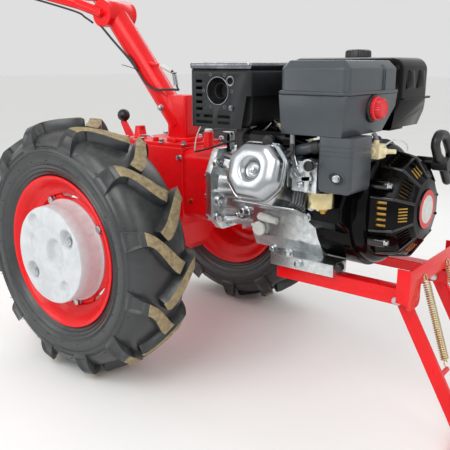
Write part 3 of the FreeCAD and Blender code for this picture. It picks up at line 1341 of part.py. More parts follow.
clutch_arm = new_body("clutch_arm")
slab(clutch_arm, "XZ", [
    f"{ADAPTER_FRONT}, arm_low",
    f"{ADAPTER_FRONT} + arm_plate, arm_low",
    f"{ADAPTER_FRONT} + arm_plate, arm_high",
    f"{ADAPTER_FRONT} - arm_hook, arm_high",
    f"{ADAPTER_FRONT} - arm_hook, arm_high - arm_plate",
    f"{ADAPTER_FRONT}, arm_high - arm_plate",
], "-arm_y - arm_half", "-arm_y + arm_half")
keep(clutch_arm, "clutch_lever", ENGINE)

hitch = new_body("hitch")
slab(hitch, "YZ", rectangle("-hitch_half", "hitch_half", "-hitch_low", "hitch_top"),
     "-case_rear - flange_plate", "-case_rear")
rounded(hitch, "hitch_round", "x")
slab(hitch, "YZ", rectangle("-socket_half", "socket_half", "socket_low", "socket_low + socket_high"),
     "-case_rear - hitch_reach", "-case_rear - flange_plate")
disc(hitch, "XY", "-case_rear - socket_pin_x, 0", "socket_pin", "socket_low - 1",
     "socket_low + socket_high + 1", cut=True)
keep(hitch, "hitch_bracket", AXLE)
power = rod("power_shaft", "power_radius", "power_length", "0, 0, 0", "x")
keep(power, "output_shaft", "axle_x - case_rear - flange_plate - power_length, 0, "
     "tyre_radius + case_top - power_drop")

# Write every piece, once each is whole.

doc.recompute()
for item in doc.Objects:
    if "Invalid" in item.State or "Error" in item.State:
        raise ValueError(f"{item.Label} did not build: {item.State}")
os.makedirs("parts", exist_ok=True)
for label, item in nodes.items():
    shape = item.Shape
    if shape.isNull() or not shape.isValid() or not shape.Solids:
        raise ValueError(f"{label} has no valid solid")
    shape.exportStep(f"parts/{label}.step")
    box = shape.BoundBox
    print(f"{label:22s} {len(shape.Solids)} {shape.Volume / 1000:10.1f} cm3"
          f" x {box.XMin:8.1f} {box.XMax:8.1f} y {box.YMin:8.1f} {box.YMax:8.1f} z {box.ZMin:7.1f} {box.ZMax:7.1f}")
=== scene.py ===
import json
from math import atan2, cos, hypot, pi, radians, sin

import bmesh
import bpy
from mathutils import Matrix, Vector, noise

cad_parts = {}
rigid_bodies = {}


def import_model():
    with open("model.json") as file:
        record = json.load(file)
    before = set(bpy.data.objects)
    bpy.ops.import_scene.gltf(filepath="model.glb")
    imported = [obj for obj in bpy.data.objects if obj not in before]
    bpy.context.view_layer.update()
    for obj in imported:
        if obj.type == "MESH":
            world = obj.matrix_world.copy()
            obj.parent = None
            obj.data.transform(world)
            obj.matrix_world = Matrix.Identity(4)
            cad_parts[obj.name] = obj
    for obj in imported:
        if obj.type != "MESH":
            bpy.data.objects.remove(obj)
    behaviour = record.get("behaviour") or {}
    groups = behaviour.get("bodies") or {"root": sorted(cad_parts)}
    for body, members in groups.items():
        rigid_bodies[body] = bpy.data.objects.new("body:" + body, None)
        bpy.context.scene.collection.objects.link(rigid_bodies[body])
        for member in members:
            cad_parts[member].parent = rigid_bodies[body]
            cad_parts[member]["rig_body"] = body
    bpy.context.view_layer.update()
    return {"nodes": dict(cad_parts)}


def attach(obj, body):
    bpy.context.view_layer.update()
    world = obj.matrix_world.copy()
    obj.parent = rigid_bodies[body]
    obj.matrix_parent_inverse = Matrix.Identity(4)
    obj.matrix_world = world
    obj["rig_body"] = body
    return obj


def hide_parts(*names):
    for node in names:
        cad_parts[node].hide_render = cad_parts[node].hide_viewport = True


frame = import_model()
scene = bpy.context.scene

# Everything is measured in millimetres from the ground under the axle; finishPiece brings it to the frame.
axleX = 69.5
axleZ = 290
crankZ = 418
mm = 0.001
toFrame = Matrix.Translation((axleX * mm, 0, 0)) @ Matrix.Scale(mm, 4)


def at(x, y, z):
    return Vector(((x + axleX) * mm, y * mm, z * mm))


# Camera and studio

cameraSetup = {"place": (1107.9, -1178.65, 690), "aim": (-0.60279, 0.75869, -0.24708), "lens": 49.9}
camera = bpy.data.objects.new("camera", bpy.data.cameras.new("camera"))
scene.collection.objects.link(camera)
camera.location = at(*cameraSetup["place"])
camera.rotation_euler = Vector(cameraSetup["aim"]).to_track_quat("-Z", "Y").to_euler()
camera.data.sensor_width = 36
camera.data.lens = cameraSetup["lens"]
camera.data.clip_start = 0.05
scene.camera = camera
scene.view_settings.view_transform = "Standard"


def hexColor(code):
    channels = [int(code[place:place + 2], 16) / 255 for place in (1, 3, 5)]
    return tuple(c / 12.92 if c <= 0.04045 else ((c + 0.055) / 1.055) ** 2.4 for c in channels) + (1,)


def addNode(tree, kind, settings, inputs):
    node = tree.nodes.new("ShaderNode" + kind)
    for name, value in settings.items():
        setattr(node, name, value)
    for name, value in inputs.items():
        if isinstance(value, bpy.types.NodeSocket):
            tree.links.new(value, node.inputs[name])
        else:
            node.inputs[name].default_value = value
    return node


studio = {
    "floor": "#fafaf9", "sky": "#f6f6f6", "skyStrength": 0.8,
    # name: place, aimed at, width, height, watts
    "lamps": {
        "keySoftbox": ((450, -1950, 2050), (150, -150, 330), 1700, 1600, 28),
        "fillSoftbox": ((2500, -400, 1700), (350, 0, 350), 1400, 1400, 8),
        "backStrip": ((-700, 1500, 1900), (200, 0, 400), 2200, 700, 12),
        "wheelCard": ((-1200, -1900, 1300), (0, -350, 300), 900, 900, 6),
    },
}
world = bpy.data.worlds.new("paleStudio")
scene.world = world
world.use_nodes = True
world.node_tree.nodes["Background"].inputs["Color"].default_value = hexColor(studio["sky"])
world.node_tree.nodes["Background"].inputs["Strength"].default_value = studio["skyStrength"]
for name, (place, aim, width, height, watts) in studio["lamps"].items():
    lamp = bpy.data.lights.new(name, "AREA")
    lamp.shape = "RECTANGLE"
    lamp.size = width * mm
    lamp.size_y = height * mm
    lamp.energy = watts
    holder = bpy.data.objects.new(name, lamp)
    scene.collection.objects.link(holder)
    holder.location = at(*place)
    holder.rotation_euler = (at(*aim) - at(*place)).to_track_quat("-Z", "Y").to_euler()

# Finishes


def makeFinish(name, recipe):
    hexMain, hexVaried, patchMm, roughness, grainMm, grainDeepMm, more = recipe
    material = bpy.data.materials.new(name)
    material.use_nodes = True
    tree = material.node_tree
    shader = tree.nodes["Principled BSDF"]
    place = addNode(tree, "TexCoord", {}, {}).outputs["Object"]
    patch = addNode(tree, "TexNoise", {}, {
        "Vector": place, "Scale": 1 / (patchMm * mm), "Detail": 5, "Roughness": 0.65}).outputs["Fac"]
    spread = addNode(tree, "MapRange", {}, {"Value": patch, "From Min": 0.36, "From Max": 0.64}).outputs["Result"]
    color = addNode(tree, "Mix", {"data_type": "RGBA"}, {
        0: spread, 6: hexColor(hexMain), 7: hexColor(hexVaried)}).outputs[2]
    if "dust" in more:  # dust lies where the surface looks up, in soft patches
        dustHex, dust, dustMm = more["dust"]
        facing = addNode(tree, "SeparateXYZ", {}, {
            "Vector": addNode(tree, "NewGeometry", {}, {}).outputs["Normal"]}).outputs["Z"]
        upward = addNode(tree, "MapRange", {}, {
            "Value": facing, "From Min": -0.1, "From Max": 1, "To Max": dust}).outputs["Result"]
        loose = addNode(tree, "TexNoise", {}, {
            "Vector": place, "Scale": 1 / (dustMm * mm), "Detail": 6, "Roughness": 0.7}).outputs["Fac"]
        amount = addNode(tree, "Math", {"operation": "MULTIPLY"}, {0: upward, 1: addNode(tree, "MapRange", {}, {
            "Value": loose, "From Min": 0.4, "From Max": 0.62}).outputs["Result"]}).outputs["Value"]
        color = addNode(tree, "Mix", {"data_type": "RGBA"}, {
            0: amount, 6: color, 7: hexColor(dustHex)}).outputs[2]
    tree.links.new(color, shader.inputs["Base Color"])
    rough = addNode(tree, "MapRange", {}, {
        "Value": patch, "From Min": 0.3, "From Max": 0.7,
        "To Min": roughness[0], "To Max": roughness[1]}).outputs["Result"]
    tree.links.new(rough, shader.inputs["Roughness"])
    grain = addNode(tree, "TexNoise", {}, {
        "Vector": place, "Scale": 1 / (grainMm * mm), "Detail": 3, "Roughness": 0.55}).outputs["Fac"]
    bump = addNode(tree, "Bump", {}, {
        "Strength": 1, "Distance": grainDeepMm * mm, "Height": grain}).outputs["Normal"]
    tree.links.new(bump, shader.inputs["Normal"])
    shader.inputs["Metallic"].default_value = more.get("metallic", 0)
    shader.inputs["IOR"].default_value = more.get("ior", 1.5)
    shader.inputs["Specular IOR Level"].default_value = more.get("specular", 0.5)
    shader.inputs["Coat Weight"].default_value = more.get("coat", 0)
    shader.inputs["Coat Roughness"].default_value = more.get("coatRough", 0.03)
    return material


finishRecipes = {
    # finish: color, its variation and the size of its patches, roughness, size and depth of the grain, the rest
    # Alkyd enamel sprayed on rolled steel: wet gloss, a faint orange peel about 3 mm across.
    "redEnamel": ("#ee0d16", "#e00a13", 90, (0.24, 0.34), 3, 0.05,
                  {"coat": 0.12, "coatRough": 0.08, "ior": 1.36, "dust": ("#cf7a70", 0.06, 30)}),
    # The same enamel brushed on sand castings: the sand's 2 mm pebbling shows through the gloss.
    "castRedEnamel": ("#f20e18", "#dd0b14", 45, (0.26, 0.4), 4, 0.35,
                      {"coat": 0.12, "coatRough": 0.1, "ior": 1.38, "dust": ("#cf7a70", 0.08, 22)}),
    # Natural and butadiene rubber from a steel mould: matt, soft sheen, mould dust in patches.
    "tyreRubber": ("#26292b", "#303335", 38, (0.27, 0.38), 2.5, 0.08,
                   {"specular": 0.62, "ior": 1.52, "dust": ("#726f63", 0.22, 16)}),
    # Lug tops with dry earth rubbed into them: tan, chalky, darker where the rubber shows.
    "dustyLugRubber": ("#ab9974", "#80735a", 11, (0.75, 0.92), 3, 0.35, {"ior": 1.45}),
    # Grey iron cast in sand and sprayed pale grey: chalky, pebbled by the sand.
    "sandCastPaint": ("#d0d4d7", "#c2c6c9", 30, (0.5, 0.66), 3.5, 0.4, {"ior": 1.48, "dust": ("#b7b2a8", 0.3, 12)}),
    # Die-cast aluminium as it left the mould: pale grey, soft sparkle, slight flow marks.
    "castAluminium": ("#dde0e1", "#bcc1c3", 14, (0.26, 0.42), 2.4, 0.22,
                      {"metallic": 1, "dust": ("#857f75", 0.1, 9)}),
    # Pressed aluminium and steel plate polished bright: near mirror with a drawn haze.
    "brightPlate": ("#b4b8bb", "#a6aaad", 40, (0.18, 0.28), 9, 0.08, {"metallic": 1}),
    # Bright zinc plating on turned and pressed steel: cool, slightly blue and uneven.
    "zincPlate": ("#c9cdd2", "#b1b5b6", 7, (0.22, 0.36), 1.5, 0.03, {"metallic": 1}),
    # Yellow passivated zinc on spring wire and small fittings: straw coloured with faint iridescence.
    "yellowZinc": ("#dccfa6", "#c9b888", 26, (0.2, 0.3), 4, 0.03, {"metallic": 1}),
    # Turned brass on the plug, the jet nut and the fan's mesh: warm and slightly tarnished.
    "brass": ("#c9a052", "#ab8644", 8, (0.24, 0.38), 1.5, 0.03, {"metallic": 1}),
    # Baked black enamel on pressed steel: deep gloss with a slow ripple of the sheet.
    "glossBlackEnamel": ("#040405", "#080808", 80, (0.08, 0.15), 16, 0.12,
                         {"coat": 0.05, "coatRough": 0.03, "ior": 1.38, "specular": 0.15,
                          "dust": ("#4b4742", 0.02, 25)}),
    # The same enamel pooled thicker on the starter's ribs and ears: wetter gloss that catches the lamps.
    "pooledBlackEnamel": ("#060606", "#0b0b0b", 40, (0.1, 0.17), 12, 0.1, {"coat": 0.4, "coatRough": 0.05}),
    # Heat resistant silicone paint on the exhaust: dull, powdery black.
    "heatPaint": ("#131415", "#1c1c1b", 20, (0.5, 0.65), 2.2, 0.08, {}),
    # Satin stove paint on the guard's pressed sheet.
    "satinGuardPaint": ("#1f2122", "#26282a", 60, (0.3, 0.4), 2.5, 0.04,
                        {"specular": 0.3, "dust": ("#6b6964", 0.05, 20)}),
    # Pale steel with soft wide reflections: the guard's bolt in its own colour; on the black guard's rims round its
    # outlet and holes and on its top seam this pale grey is painted highlight and painted reflection.
    "burnishedSteel": ("#85878c", "#6c6e74", 24, (0.2, 0.32), 6, 0.06, {"metallic": 1}),
    # Injection moulded polypropylene with an eroded-steel grain: satin grey.
    "mouldedGreyPlastic": ("#3c4247", "#42484d", 70, (0.26, 0.36), 1.8, 0.05, {"ior": 1.49}),
    # Moulded nylon, black and red, acetal and rubber: even colours whose fine grain spreads the highlight.
    "blackNylon": ("#131415", "#1c1d1e", 25, (0.34, 0.46), 1.8, 0.04, {"ior": 1.53}),
    "redNylon": ("#e3202b", "#cf1722", 20, (0.3, 0.4), 1.8, 0.03, {"ior": 1.53}),
    "creamAcetal": ("#eee3bd", "#e2d5aa", 15, (0.36, 0.46), 1.8, 0.03, {"ior": 1.48}),
    "hoseRubber": ("#202122", "#2b2c2d", 12, (0.48, 0.6), 1.6, 0.04, {"ior": 1.52}),
    "greyHose": ("#85888b", "#76797c", 12, (0.4, 0.55), 1.6, 0.03, {}),
    "whiteSleeve": ("#d9dad6", "#c9cac5", 12, (0.4, 0.5), 1.6, 0.02, {}),
    "gripRubber": ("#18191a", "#222324", 18, (0.55, 0.68), 1.8, 0.07, {"ior": 1.52}),
}
finishes = {name: makeFinish(name, recipe) for name, recipe in finishRecipes.items()}
floorFinish = makeFinish("paleFloor", (studio["floor"], "#f8f8f6", 500, (0.55, 0.65), 6, 0.02, {}))
print("finishes made", len(finishes))

floor = bmesh.new()
bmesh.ops.create_grid(floor, x_segments=2, y_segments=2, size=40)
floorMesh = bpy.data.meshes.new("floor")
floor.to_mesh(floorMesh)
floor.free()
floorMesh.materials.append(floorFinish)
floorPiece = bpy.data.objects.new("floor", floorMesh)
scene.collection.objects.link(floorPiece)
floorPiece.location = (0, 0, -0.0005)

# Workshop: small steps that every piece below uses


def ease(bm, geom, offset, segments, affect="EDGES"):
    bmesh.ops.bevel(bm, geom=geom, offset=offset, offset_type="OFFSET", segments=segments, profile=0.5,
                    affect=affect, material=-1, clamp_overlap=True)


def finishPiece(bm, name, finish, smoothAngle=30, body="chassis"):
    # drawn in millimetres, brought to the frame; one finish or a list of them
    bmesh.ops.transform(bm, matrix=toFrame, verts=bm.verts)
    return placePiece(bm, name, body, finish if isinstance(finish, list) else [finish], smoothAngle)


def placePiece(bm, name, body, finishNames, smoothAngle=35):
    mesh = bpy.data.meshes.new(name)
    bm.to_mesh(mesh)
    bm.free()
    mesh.validate()
    for finish in finishNames:
        mesh.materials.append(finishes[finish])
    mesh.shade_smooth()
    mesh.set_sharp_from_angle(angle=radians(smoothAngle))
    piece = bpy.data.objects.new(name, mesh)
    scene.collection.objects.link(piece)
    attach(piece, body)
    return piece


def bodyOf(node):
    return frame["nodes"][node]["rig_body"]


def softenNode(node, finishNames, width, segments=2, choose=None):
    # the CAD solid's own shape with its hard edges eased, as a pressing or casting has them
    bm = bmesh.new()
    bm.from_mesh(frame["nodes"][node].data)
    bmesh.ops.remove_doubles(bm, verts=bm.verts, dist=2e-5)
    bmesh.ops.dissolve_degenerate(bm, edges=bm.edges, dist=1e-5)
    bmesh.ops.dissolve_limit(bm, angle_limit=radians(0.6), verts=bm.verts, edges=bm.edges)
    if width:
        sharp = [edge for edge in bm.edges if len(edge.link_faces) == 2 and edge.calc_face_angle(0) > radians(30)]
        ease(bm, sharp, width * mm, segments)
    if choose:
        for face in bm.faces:
            middle = face.calc_center_median() / mm
            face.material_index = choose(middle.x - axleX, middle.y, middle.z, face.normal)
    piece = placePiece(bm, node + "Dressed", bodyOf(node), finishNames)
    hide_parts(node)


def turnedRing(outline, rounding, steps):
    # outline: (across, radius) corners of a closed section, turned about Y through the origin
    bm = bmesh.new()
    corners = [bm.verts.new((radius, across, 0)) for across, radius in outline]
    face = bm.faces.new(corners)
    if rounding:
        loose = [corner for corner in corners if corner.co.x > 0.01]
        ease(bm, loose, rounding, 3, "VERTICES")
    bmesh.ops.delete(bm, geom=bm.faces[:], context="FACES_ONLY")
    onAxis = [edge for edge in bm.edges if all(vert.co.x < 0.01 for vert in edge.verts)]
    bmesh.ops.delete(bm, geom=onAxis, context="EDGES")
    bmesh.ops.spin(bm, geom=bm.verts[:] + bm.edges[:], cent=(0, 0, 0), axis=(0, 1, 0), dvec=(0, 0, 0),
                   angle=2 * pi, steps=steps, use_merge=True, use_duplicate=False)
    bmesh.ops.remove_doubles(bm, verts=bm.verts, dist=0.01)
    bmesh.ops.dissolve_degenerate(bm, edges=bm.edges, dist=0.005)
    bmesh.ops.recalc_face_normals(bm, faces=bm.faces)
    return bm


def addBolt(bm, place, direction, across, high, washer=0):
    # hexagon head with a chamfered crown, on its washer
    seat = Matrix.Translation(Vector(place)) @ Vector(direction).to_track_quat("Z", "Y").to_matrix().to_4x4()
    base = 1.6 if washer else 0
    # sides, radius below and above, height, start along the bolt
    for sides, below, above, tall, begin in (
            (24, washer, washer * 0.96, base, 0),
            (6, across / 1.732, across / 1.732, high, base),
            (18, across * 0.5, across * 0.36, high * 0.12, base + high)):
        if tall:
            bmesh.ops.create_cone(bm, cap_ends=True, segments=sides, radius1=below, radius2=above, depth=tall,
                                  matrix=seat @ Matrix.Translation((0, 0, begin + tall / 2)))


def catmull(rows, share):
    # smooth reading of a table's rows at share 0..1 of its length
    place = min(max(share, 0), 1) * (len(rows) - 1)
    index = min(int(place), len(rows) - 2)
    t = place - index
    before, first, second, after = (rows[min(max(index + step, 0), len(rows) - 1)] for step in (-1, 0, 1, 2))
    return [0.5 * (2 * b + (c - a) * t + (2 * a - 5 * b + 4 * c - d) * t * t + (3 * b - a - 3 * c + d) * t ** 3)
            for a, b, c, d in zip(before, first, second, after)]


def joinInto(bm, other):
    spare = bpy.data.meshes.new("spare")
    other.to_mesh(spare)
    other.free()
    bm.from_mesh(spare)
    bpy.data.meshes.remove(spare)


planes = {
    "XY": Matrix.Identity(4),
    "XZ": Matrix(((1, 0, 0, 0), (0, 0, 1, 0), (0, 1, 0, 0), (0, 0, 0, 1))),
    "YZ": Matrix(((0, 0, 1, 0), (1, 0, 0, 0), (0, 1, 0, 0), (0, 0, 0, 1))),
}


def box(left, low, right, high):
    return [(left, low), (right, low), (right, high), (left, high)]


def aboutCrank(x, radius, turn):
    return x, radius * cos(radians(turn)), crankZ + radius * sin(radians(turn))


def addSlab(bm, plane, outline, low, high, corner=0, edge=0.7, place=None):
    # outline drawn in a plane and given thickness across it; its corners rounded and its edges eased
    part = bmesh.new()
    flat = [part.verts.new((first, second, low)) for first, second in outline]
    part.faces.new(flat)
    if corner:
        ease(part, flat, corner, 5, "VERTICES")
    grown = bmesh.ops.extrude_face_region(part, geom=part.faces[:])["geom"]
    bmesh.ops.translate(part, vec=(0, 0, high - low), verts=[one for one in grown if isinstance(one,
        bmesh.types.BMVert)])
    if edge:
        rim = [one for one in part.edges if one.calc_face_angle(0) > 0.9]
        ease(part, rim, edge, 2)
    bmesh.ops.transform(part, matrix=(place or Matrix.Identity(4)) @ planes[plane], verts=part.verts)
    bmesh.ops.recalc_face_normals(part, faces=part.faces)
    joinInto(bm, part)


def addTurned(bm, outline, place, direction, steps=48, rounding=0.6):
    # (along, radius) corners of a closed section, turned about the direction that starts at the place
    part = turnedRing(outline, rounding, steps)
    turn = Vector(direction).to_track_quat("Y", "Z").to_matrix().to_4x4()
    bmesh.ops.transform(part, matrix=Matrix.Translation(Vector(place)) @ turn, verts=part.verts)
    joinInto(bm, part)


def addLoft(bm, rings, place=None):
    # closed rings with equal numbers of points, bridged one after the other
    part = bmesh.new()
    loops = []
    for ring in rings:
        count = len(part.edges)
        made = bmesh.ops.create_circle(part, cap_ends=False, segments=len(ring), radius=1)["verts"]
        for vert, point in zip(made, ring):
            vert.co = point
        part.edges.ensure_lookup_table()
        loops.append(part.edges[count:])
    bmesh.ops.edgeloop_fill(part, edges=loops[0])
    bmesh.ops.edgeloop_fill(part, edges=loops[-1])
    for first, second in zip(loops, loops[1:]):
        bmesh.ops.bridge_loops(part, edges=first + second)
    bmesh.ops.transform(part, matrix=place or Matrix.Identity(4), verts=part.verts)
    bmesh.ops.recalc_face_normals(part, faces=part.faces)
    joinInto(bm, part)


def addRuns(name, body, finish, radius, paths, steps=6, rounds=3):
    # hoses, cables, rods and wire: round runs through their points
    curve = bpy.data.curves.new(name, "CURVE")
    curve.dimensions = "3D"
    curve.bevel_depth = radius * mm
    curve.bevel_resolution = rounds
    curve.use_fill_caps = True
    for path in paths:
        count = steps * (len(path) - 1)
        spline = curve.splines.new("POLY")
        spline.points.add(count)
        for index in range(count + 1):
            spline.points[index].co = (*at(*catmull(path, index / count)), 1)
    curve.materials.append(finishes[finish])
    piece = bpy.data.objects.new(name, curve)
    scene.collection.objects.link(piece)
    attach(piece, body)
    return piece


# Wheels: tyre, rim, weight and hub, built for the right side about the wheel's middle and mirrored for the left

wheel = {
    "halfTrack": 304, "steps": 144, "lugs": 12,
    # across from the tyre's middle, radius: half of the carcass, from the rim flange to the crown
    "carcass": [(50, 153), (56, 160), (62.5, 168), (68, 175), (74, 183), (78, 192), (80.4, 204), (81.2, 216),
                (80, 229), (76.5, 242), (70.5, 252), (62, 259.5), (50, 264.5), (34, 267.3), (16, 268.4), (0, 268.8)],
    "ridges": [179.5, 188, 196, 200.5, 221, 225, 232.5, 236.5],  # fine rings moulded in the sidewall
    "ridgeHigh": 1.3,
    # across, degrees of sweep, radius of the top, across and radius of the foot, half width of top and foot,
    # and how far across the leading edge lies beyond the middle, which squares the inner end
    "lugPath": [
        (21, 0, 286.5, 20, 262, 10.5, 14.5, 8),
        (14, 0.8, 290, 14, 262, 11.5, 15.5, 8),
        (0, 2.9, 290, 0, 262, 11.5, 15.5, 8),
        (-22, 7.8, 289.6, -22, 260, 11.5, 15.5, 7),
        (-44, 12.9, 287.4, -42, 256, 12, 15, 3),
        (-61, 15.5, 283.5, -56, 250, 13.5, 16, 0),
        (-69, 16.1, 277, -63, 244, 14.5, 17, 0),
        (-76.5, 16.4, 265, -68, 236, 16.5, 19, 0),
        (-81, 16.4, 248, -72, 229, 19, 21, 0),
        (-81.6, 16.4, 232, -76, 223, 21, 22.5, 0),
    ],
    "endRound": 8, "edgeRound": 1.8, "pocketIn": (236, 272), "pocketRim": 5.5, "pocketDeep": 5,
    "nubs": ((243, 75.4, 7.5), (206, 79.6, 2)),  # radius, across and first angle of the vent nubs left by the mould
    "topOver": 281,  # a lug's outer faces further out than this are dusty
}


def makeTyre(side):
    half = wheel["carcass"]
    outline = []
    for (across, radius), (nextAcross, nextRadius) in zip(half, half[1:]):
        outline.append((across, radius))
        for ridge in wheel["ridges"]:
            if radius < ridge < nextRadius:
                share = (ridge - radius) / (nextRadius - radius)
                level = across + share * (nextAcross - across)
                outline += [(level, ridge - 1.3), (level + wheel["ridgeHigh"], ridge), (level, ridge + 1.3)]
    outline.append(half[-1])
    bm = bmesh.new()
    verts = [bm.verts.new((radius, -across, 0)) for across, radius in outline]
    for first, second in zip(verts, verts[1:]):
        bm.edges.new((first, second))
    bmesh.ops.mirror(bm, geom=bm.verts[:] + bm.edges[:], axis="Y", merge_dist=0.01)
    bmesh.ops.spin(bm, geom=bm.verts[:] + bm.edges[:], cent=(0, 0, 0), axis=(0, 1, 0), dvec=(0, 0, 0),
                   angle=2 * pi, steps=wheel["steps"], use_merge=True, use_duplicate=False)
    bmesh.ops.recalc_face_normals(bm, faces=bm.faces)
    lugs = bmesh.new()
    bmesh.ops.create_cube(lugs, size=2)
    along = [edge for edge in lugs.edges if abs(edge.verts[0].co.x - edge.verts[1].co.x) > 1]
    bmesh.ops.subdivide_edges(lugs, edges=along, cuts=19, use_grid_fill=True)
    for face in lugs.faces:
        face.material_index = 1 if face.normal.z > 0.9 else 0
    endEdges = [edge for edge in lugs.edges if edge.verts[0].co.x < -0.99 and edge.verts[1].co.x < -0.99
                and abs(edge.verts[0].co.z - edge.verts[1].co.z) > 1]
    for vert in lugs.verts:
        across, sweep, top, footAcross, foot, topHalf, footHalf, lead = catmull(wheel["lugPath"], (vert.co.x + 1) / 2)
        high = vert.co.z > 0
        radius, offset = (top, topHalf) if high else (foot, footHalf)
        angle = radians(sweep)
        reach = offset * vert.co.y
        vert.co = (radius * cos(angle) - reach * sin(angle), (across if high else footAcross) + lead * vert.co.y,
                   radius * sin(angle) + reach * cos(angle))
    for face in lugs.faces:
        middle = face.calc_center_median()
        if face.material_index and hypot(middle.x, middle.z) < wheel["topOver"]:
            face.material_index = 0
    bmesh.ops.recalc_face_normals(lugs, faces=lugs.faces)
    if lugs.calc_volume(signed=True) < 0:
        bmesh.ops.reverse_faces(lugs, faces=lugs.faces)
    lugs.normal_update()
    pocket = [face for face in lugs.faces if face.normal.y < -0.7 and wheel["pocketIn"][0] < hypot(
        face.calc_center_median().x, face.calc_center_median().z) < wheel["pocketIn"][1]]
    bmesh.ops.inset_region(lugs, faces=pocket, thickness=wheel["pocketRim"], depth=-wheel["pocketDeep"],
                           use_boundary=True, use_even_offset=True)
    endEdges = [edge for edge in endEdges if edge.is_valid]
    ease(lugs, endEdges, wheel["endRound"], 4)
    crisp = [edge for edge in lugs.edges if edge.calc_face_angle(0) > radians(38)]
    ease(lugs, crisp, wheel["edgeRound"], 2)
    one = bpy.data.meshes.new("lug")
    lugs.to_mesh(one)
    lugs.free()
    for turn in range(wheel["lugs"]):
        for row, start in ((1, 0), (-1, -180 / wheel["lugs"])):
            before = len(bm.verts)
            faces = len(bm.faces)
            bm.from_mesh(one)
            bm.verts.ensure_lookup_table()
            bm.faces.ensure_lookup_table()
            angle = radians(start + turn * 360 / wheel["lugs"])
            place = Matrix.Rotation(-angle, 4, "Y") @ Matrix.Diagonal((1, row, 1, 1))
            bmesh.ops.transform(bm, matrix=place, verts=bm.verts[before:])
            if row < 0:
                bmesh.ops.reverse_faces(bm, faces=bm.faces[faces:])
    bpy.data.meshes.remove(one)
    for radius, across, start in wheel["nubs"]:
        for row in (-1, 1):
            for index in range(2 * wheel["lugs"]):
                place = Matrix.Rotation(radians(-start - 180 / wheel["lugs"] * index), 4,
                                        "Y") @ Matrix.Translation((radius, row * (across + 1.5), 0))
                bmesh.ops.create_cone(bm, cap_ends=True, segments=5, radius1=0.9, radius2=0.5, depth=7,
                                      matrix=place @ Matrix.Rotation(-row * pi / 2, 4, "X"))
    return toWheel(bm, side)


def toWheel(bm, side):
    # from the wheel's middle to its place; the left one is the mirror image
    if side == "left":
        bmesh.ops.transform(bm, matrix=Matrix.Diagonal((1, -1, 1, 1)), verts=bm.verts)
        bmesh.ops.reverse_faces(bm, faces=bm.faces)
    shift = wheel["halfTrack"] * (1 if side == "left" else -1)
    bmesh.ops.transform(bm, matrix=Matrix.Translation((0, shift, axleZ)), verts=bm.verts)
    return bm


rimShape = {
    # across from the middle, radius: rolled lip, flange, bead seat, drop well and back again behind the plate
    "section": [(-66.5, 172.2), (-70, 171), (-70.4, 168), (-67, 163), (-60, 156.5), (-51, 149.5), (-42, 140),
                (-37, 128),
                (37, 128), (42, 140), (51, 149.5), (60, 156.5), (67, 163), (70.4, 168), (70, 171), (66.5, 172.2),
                (64.5, 167), (57, 160), (48, 153), (39, 143), (34, 132), (-34, 132), (-39, 143), (-48, 153),
                (-57, 160),
                (-64.5, 167)],
    "disc": [(-36, 31), (-36, 96), (-39, 104), (-39, 112), (-33, 120), (-31, 129.5), (-27, 129.5), (-28, 119),
             (-33, 111), (-33, 105), (-30, 97), (-30, 31)],
    "windowsAt": (90, -47, 205), "windowHalf": 13, "windowChord": 119,
    "nutCircle": 121, "nutsAt": (118, -84, 32, 170),
}
weightShape = {
    "outline": [(-36, 0), (-36, 115.5), (-40, 116), (-46, 110), (-70, 109.4), (-93, 108), (-95.4, 106.6)],
    "faceStep": 3,
    # x, z from the axle, half width along x, along z, depth: hollows cast in the outer face
    "hollows": [(63, 46, 22, 22, 15), (-63, -46, 22, 22, 15), (-48, 68, 20, 20, 11), (48, -66, 18, 18, 9),
                (20, 6, 31, 38, 15), (-56, 18, 10, 26, 5)],
    "grooveRadius": 62, "grooveHalf": 7, "grooveDeep": 1,
    "nuts": [(67, 42), (-59, -50)],
    "lump": 0.5, "lumpMm": 26,
}


def makeRim(side):
    rim = turnedRing(rimShape["section"], 1.6, 128)
    disc = turnedRing(rimShape["disc"], 1.2, 120)
    for vert in disc.verts:
        radius = hypot(vert.co.x, vert.co.z)
        for window in rimShape["windowsAt"]:
            off = (atan2(vert.co.z, vert.co.x) * 180 / pi - window + 180) % 360 - 180
            limit = rimShape["windowChord"] / cos(radians(off))
            if abs(off) < rimShape["windowHalf"] and radius > limit:
                vert.co.x *= limit / radius
                vert.co.z *= limit / radius
    joinInto(rim, disc)
    return toWheel(rim, side)


def makeWeight(side):
    step = weightShape["faceStep"]
    outline = weightShape["outline"] + [(-96, radius) for radius in range(104, -1, -step)] + [(-96, 0)]
    bm = turnedRing(outline, 0, 144)
    for vert in bm.verts:
        x, y, z = vert.co
        if y < -95:
            sink = 0
            for middleX, middleZ, halfX, halfZ, deep in weightShape["hollows"]:
                away = hypot((x - middleX) / halfX, (z - middleZ) / halfZ)
                if away < 1:
                    ease = min(1, (1 - away) / 0.34)
                    sink = max(sink, deep * ease * ease * (3 - 2 * ease))
            inGroove = abs(hypot(x, z) - weightShape["grooveRadius"]) / weightShape["grooveHalf"]
            if inGroove < 1:
                sink = max(sink, weightShape["grooveDeep"] * cos(inGroove * pi / 2) ** 2)
            y += sink
        lump = noise.noise_vector(vert.co / weightShape["lumpMm"]) * weightShape["lump"]
        vert.co = Vector((x + lump.x, y + lump.y, z + lump.z)) if y < -37 else vert.co
    return toWheel(bm, side)


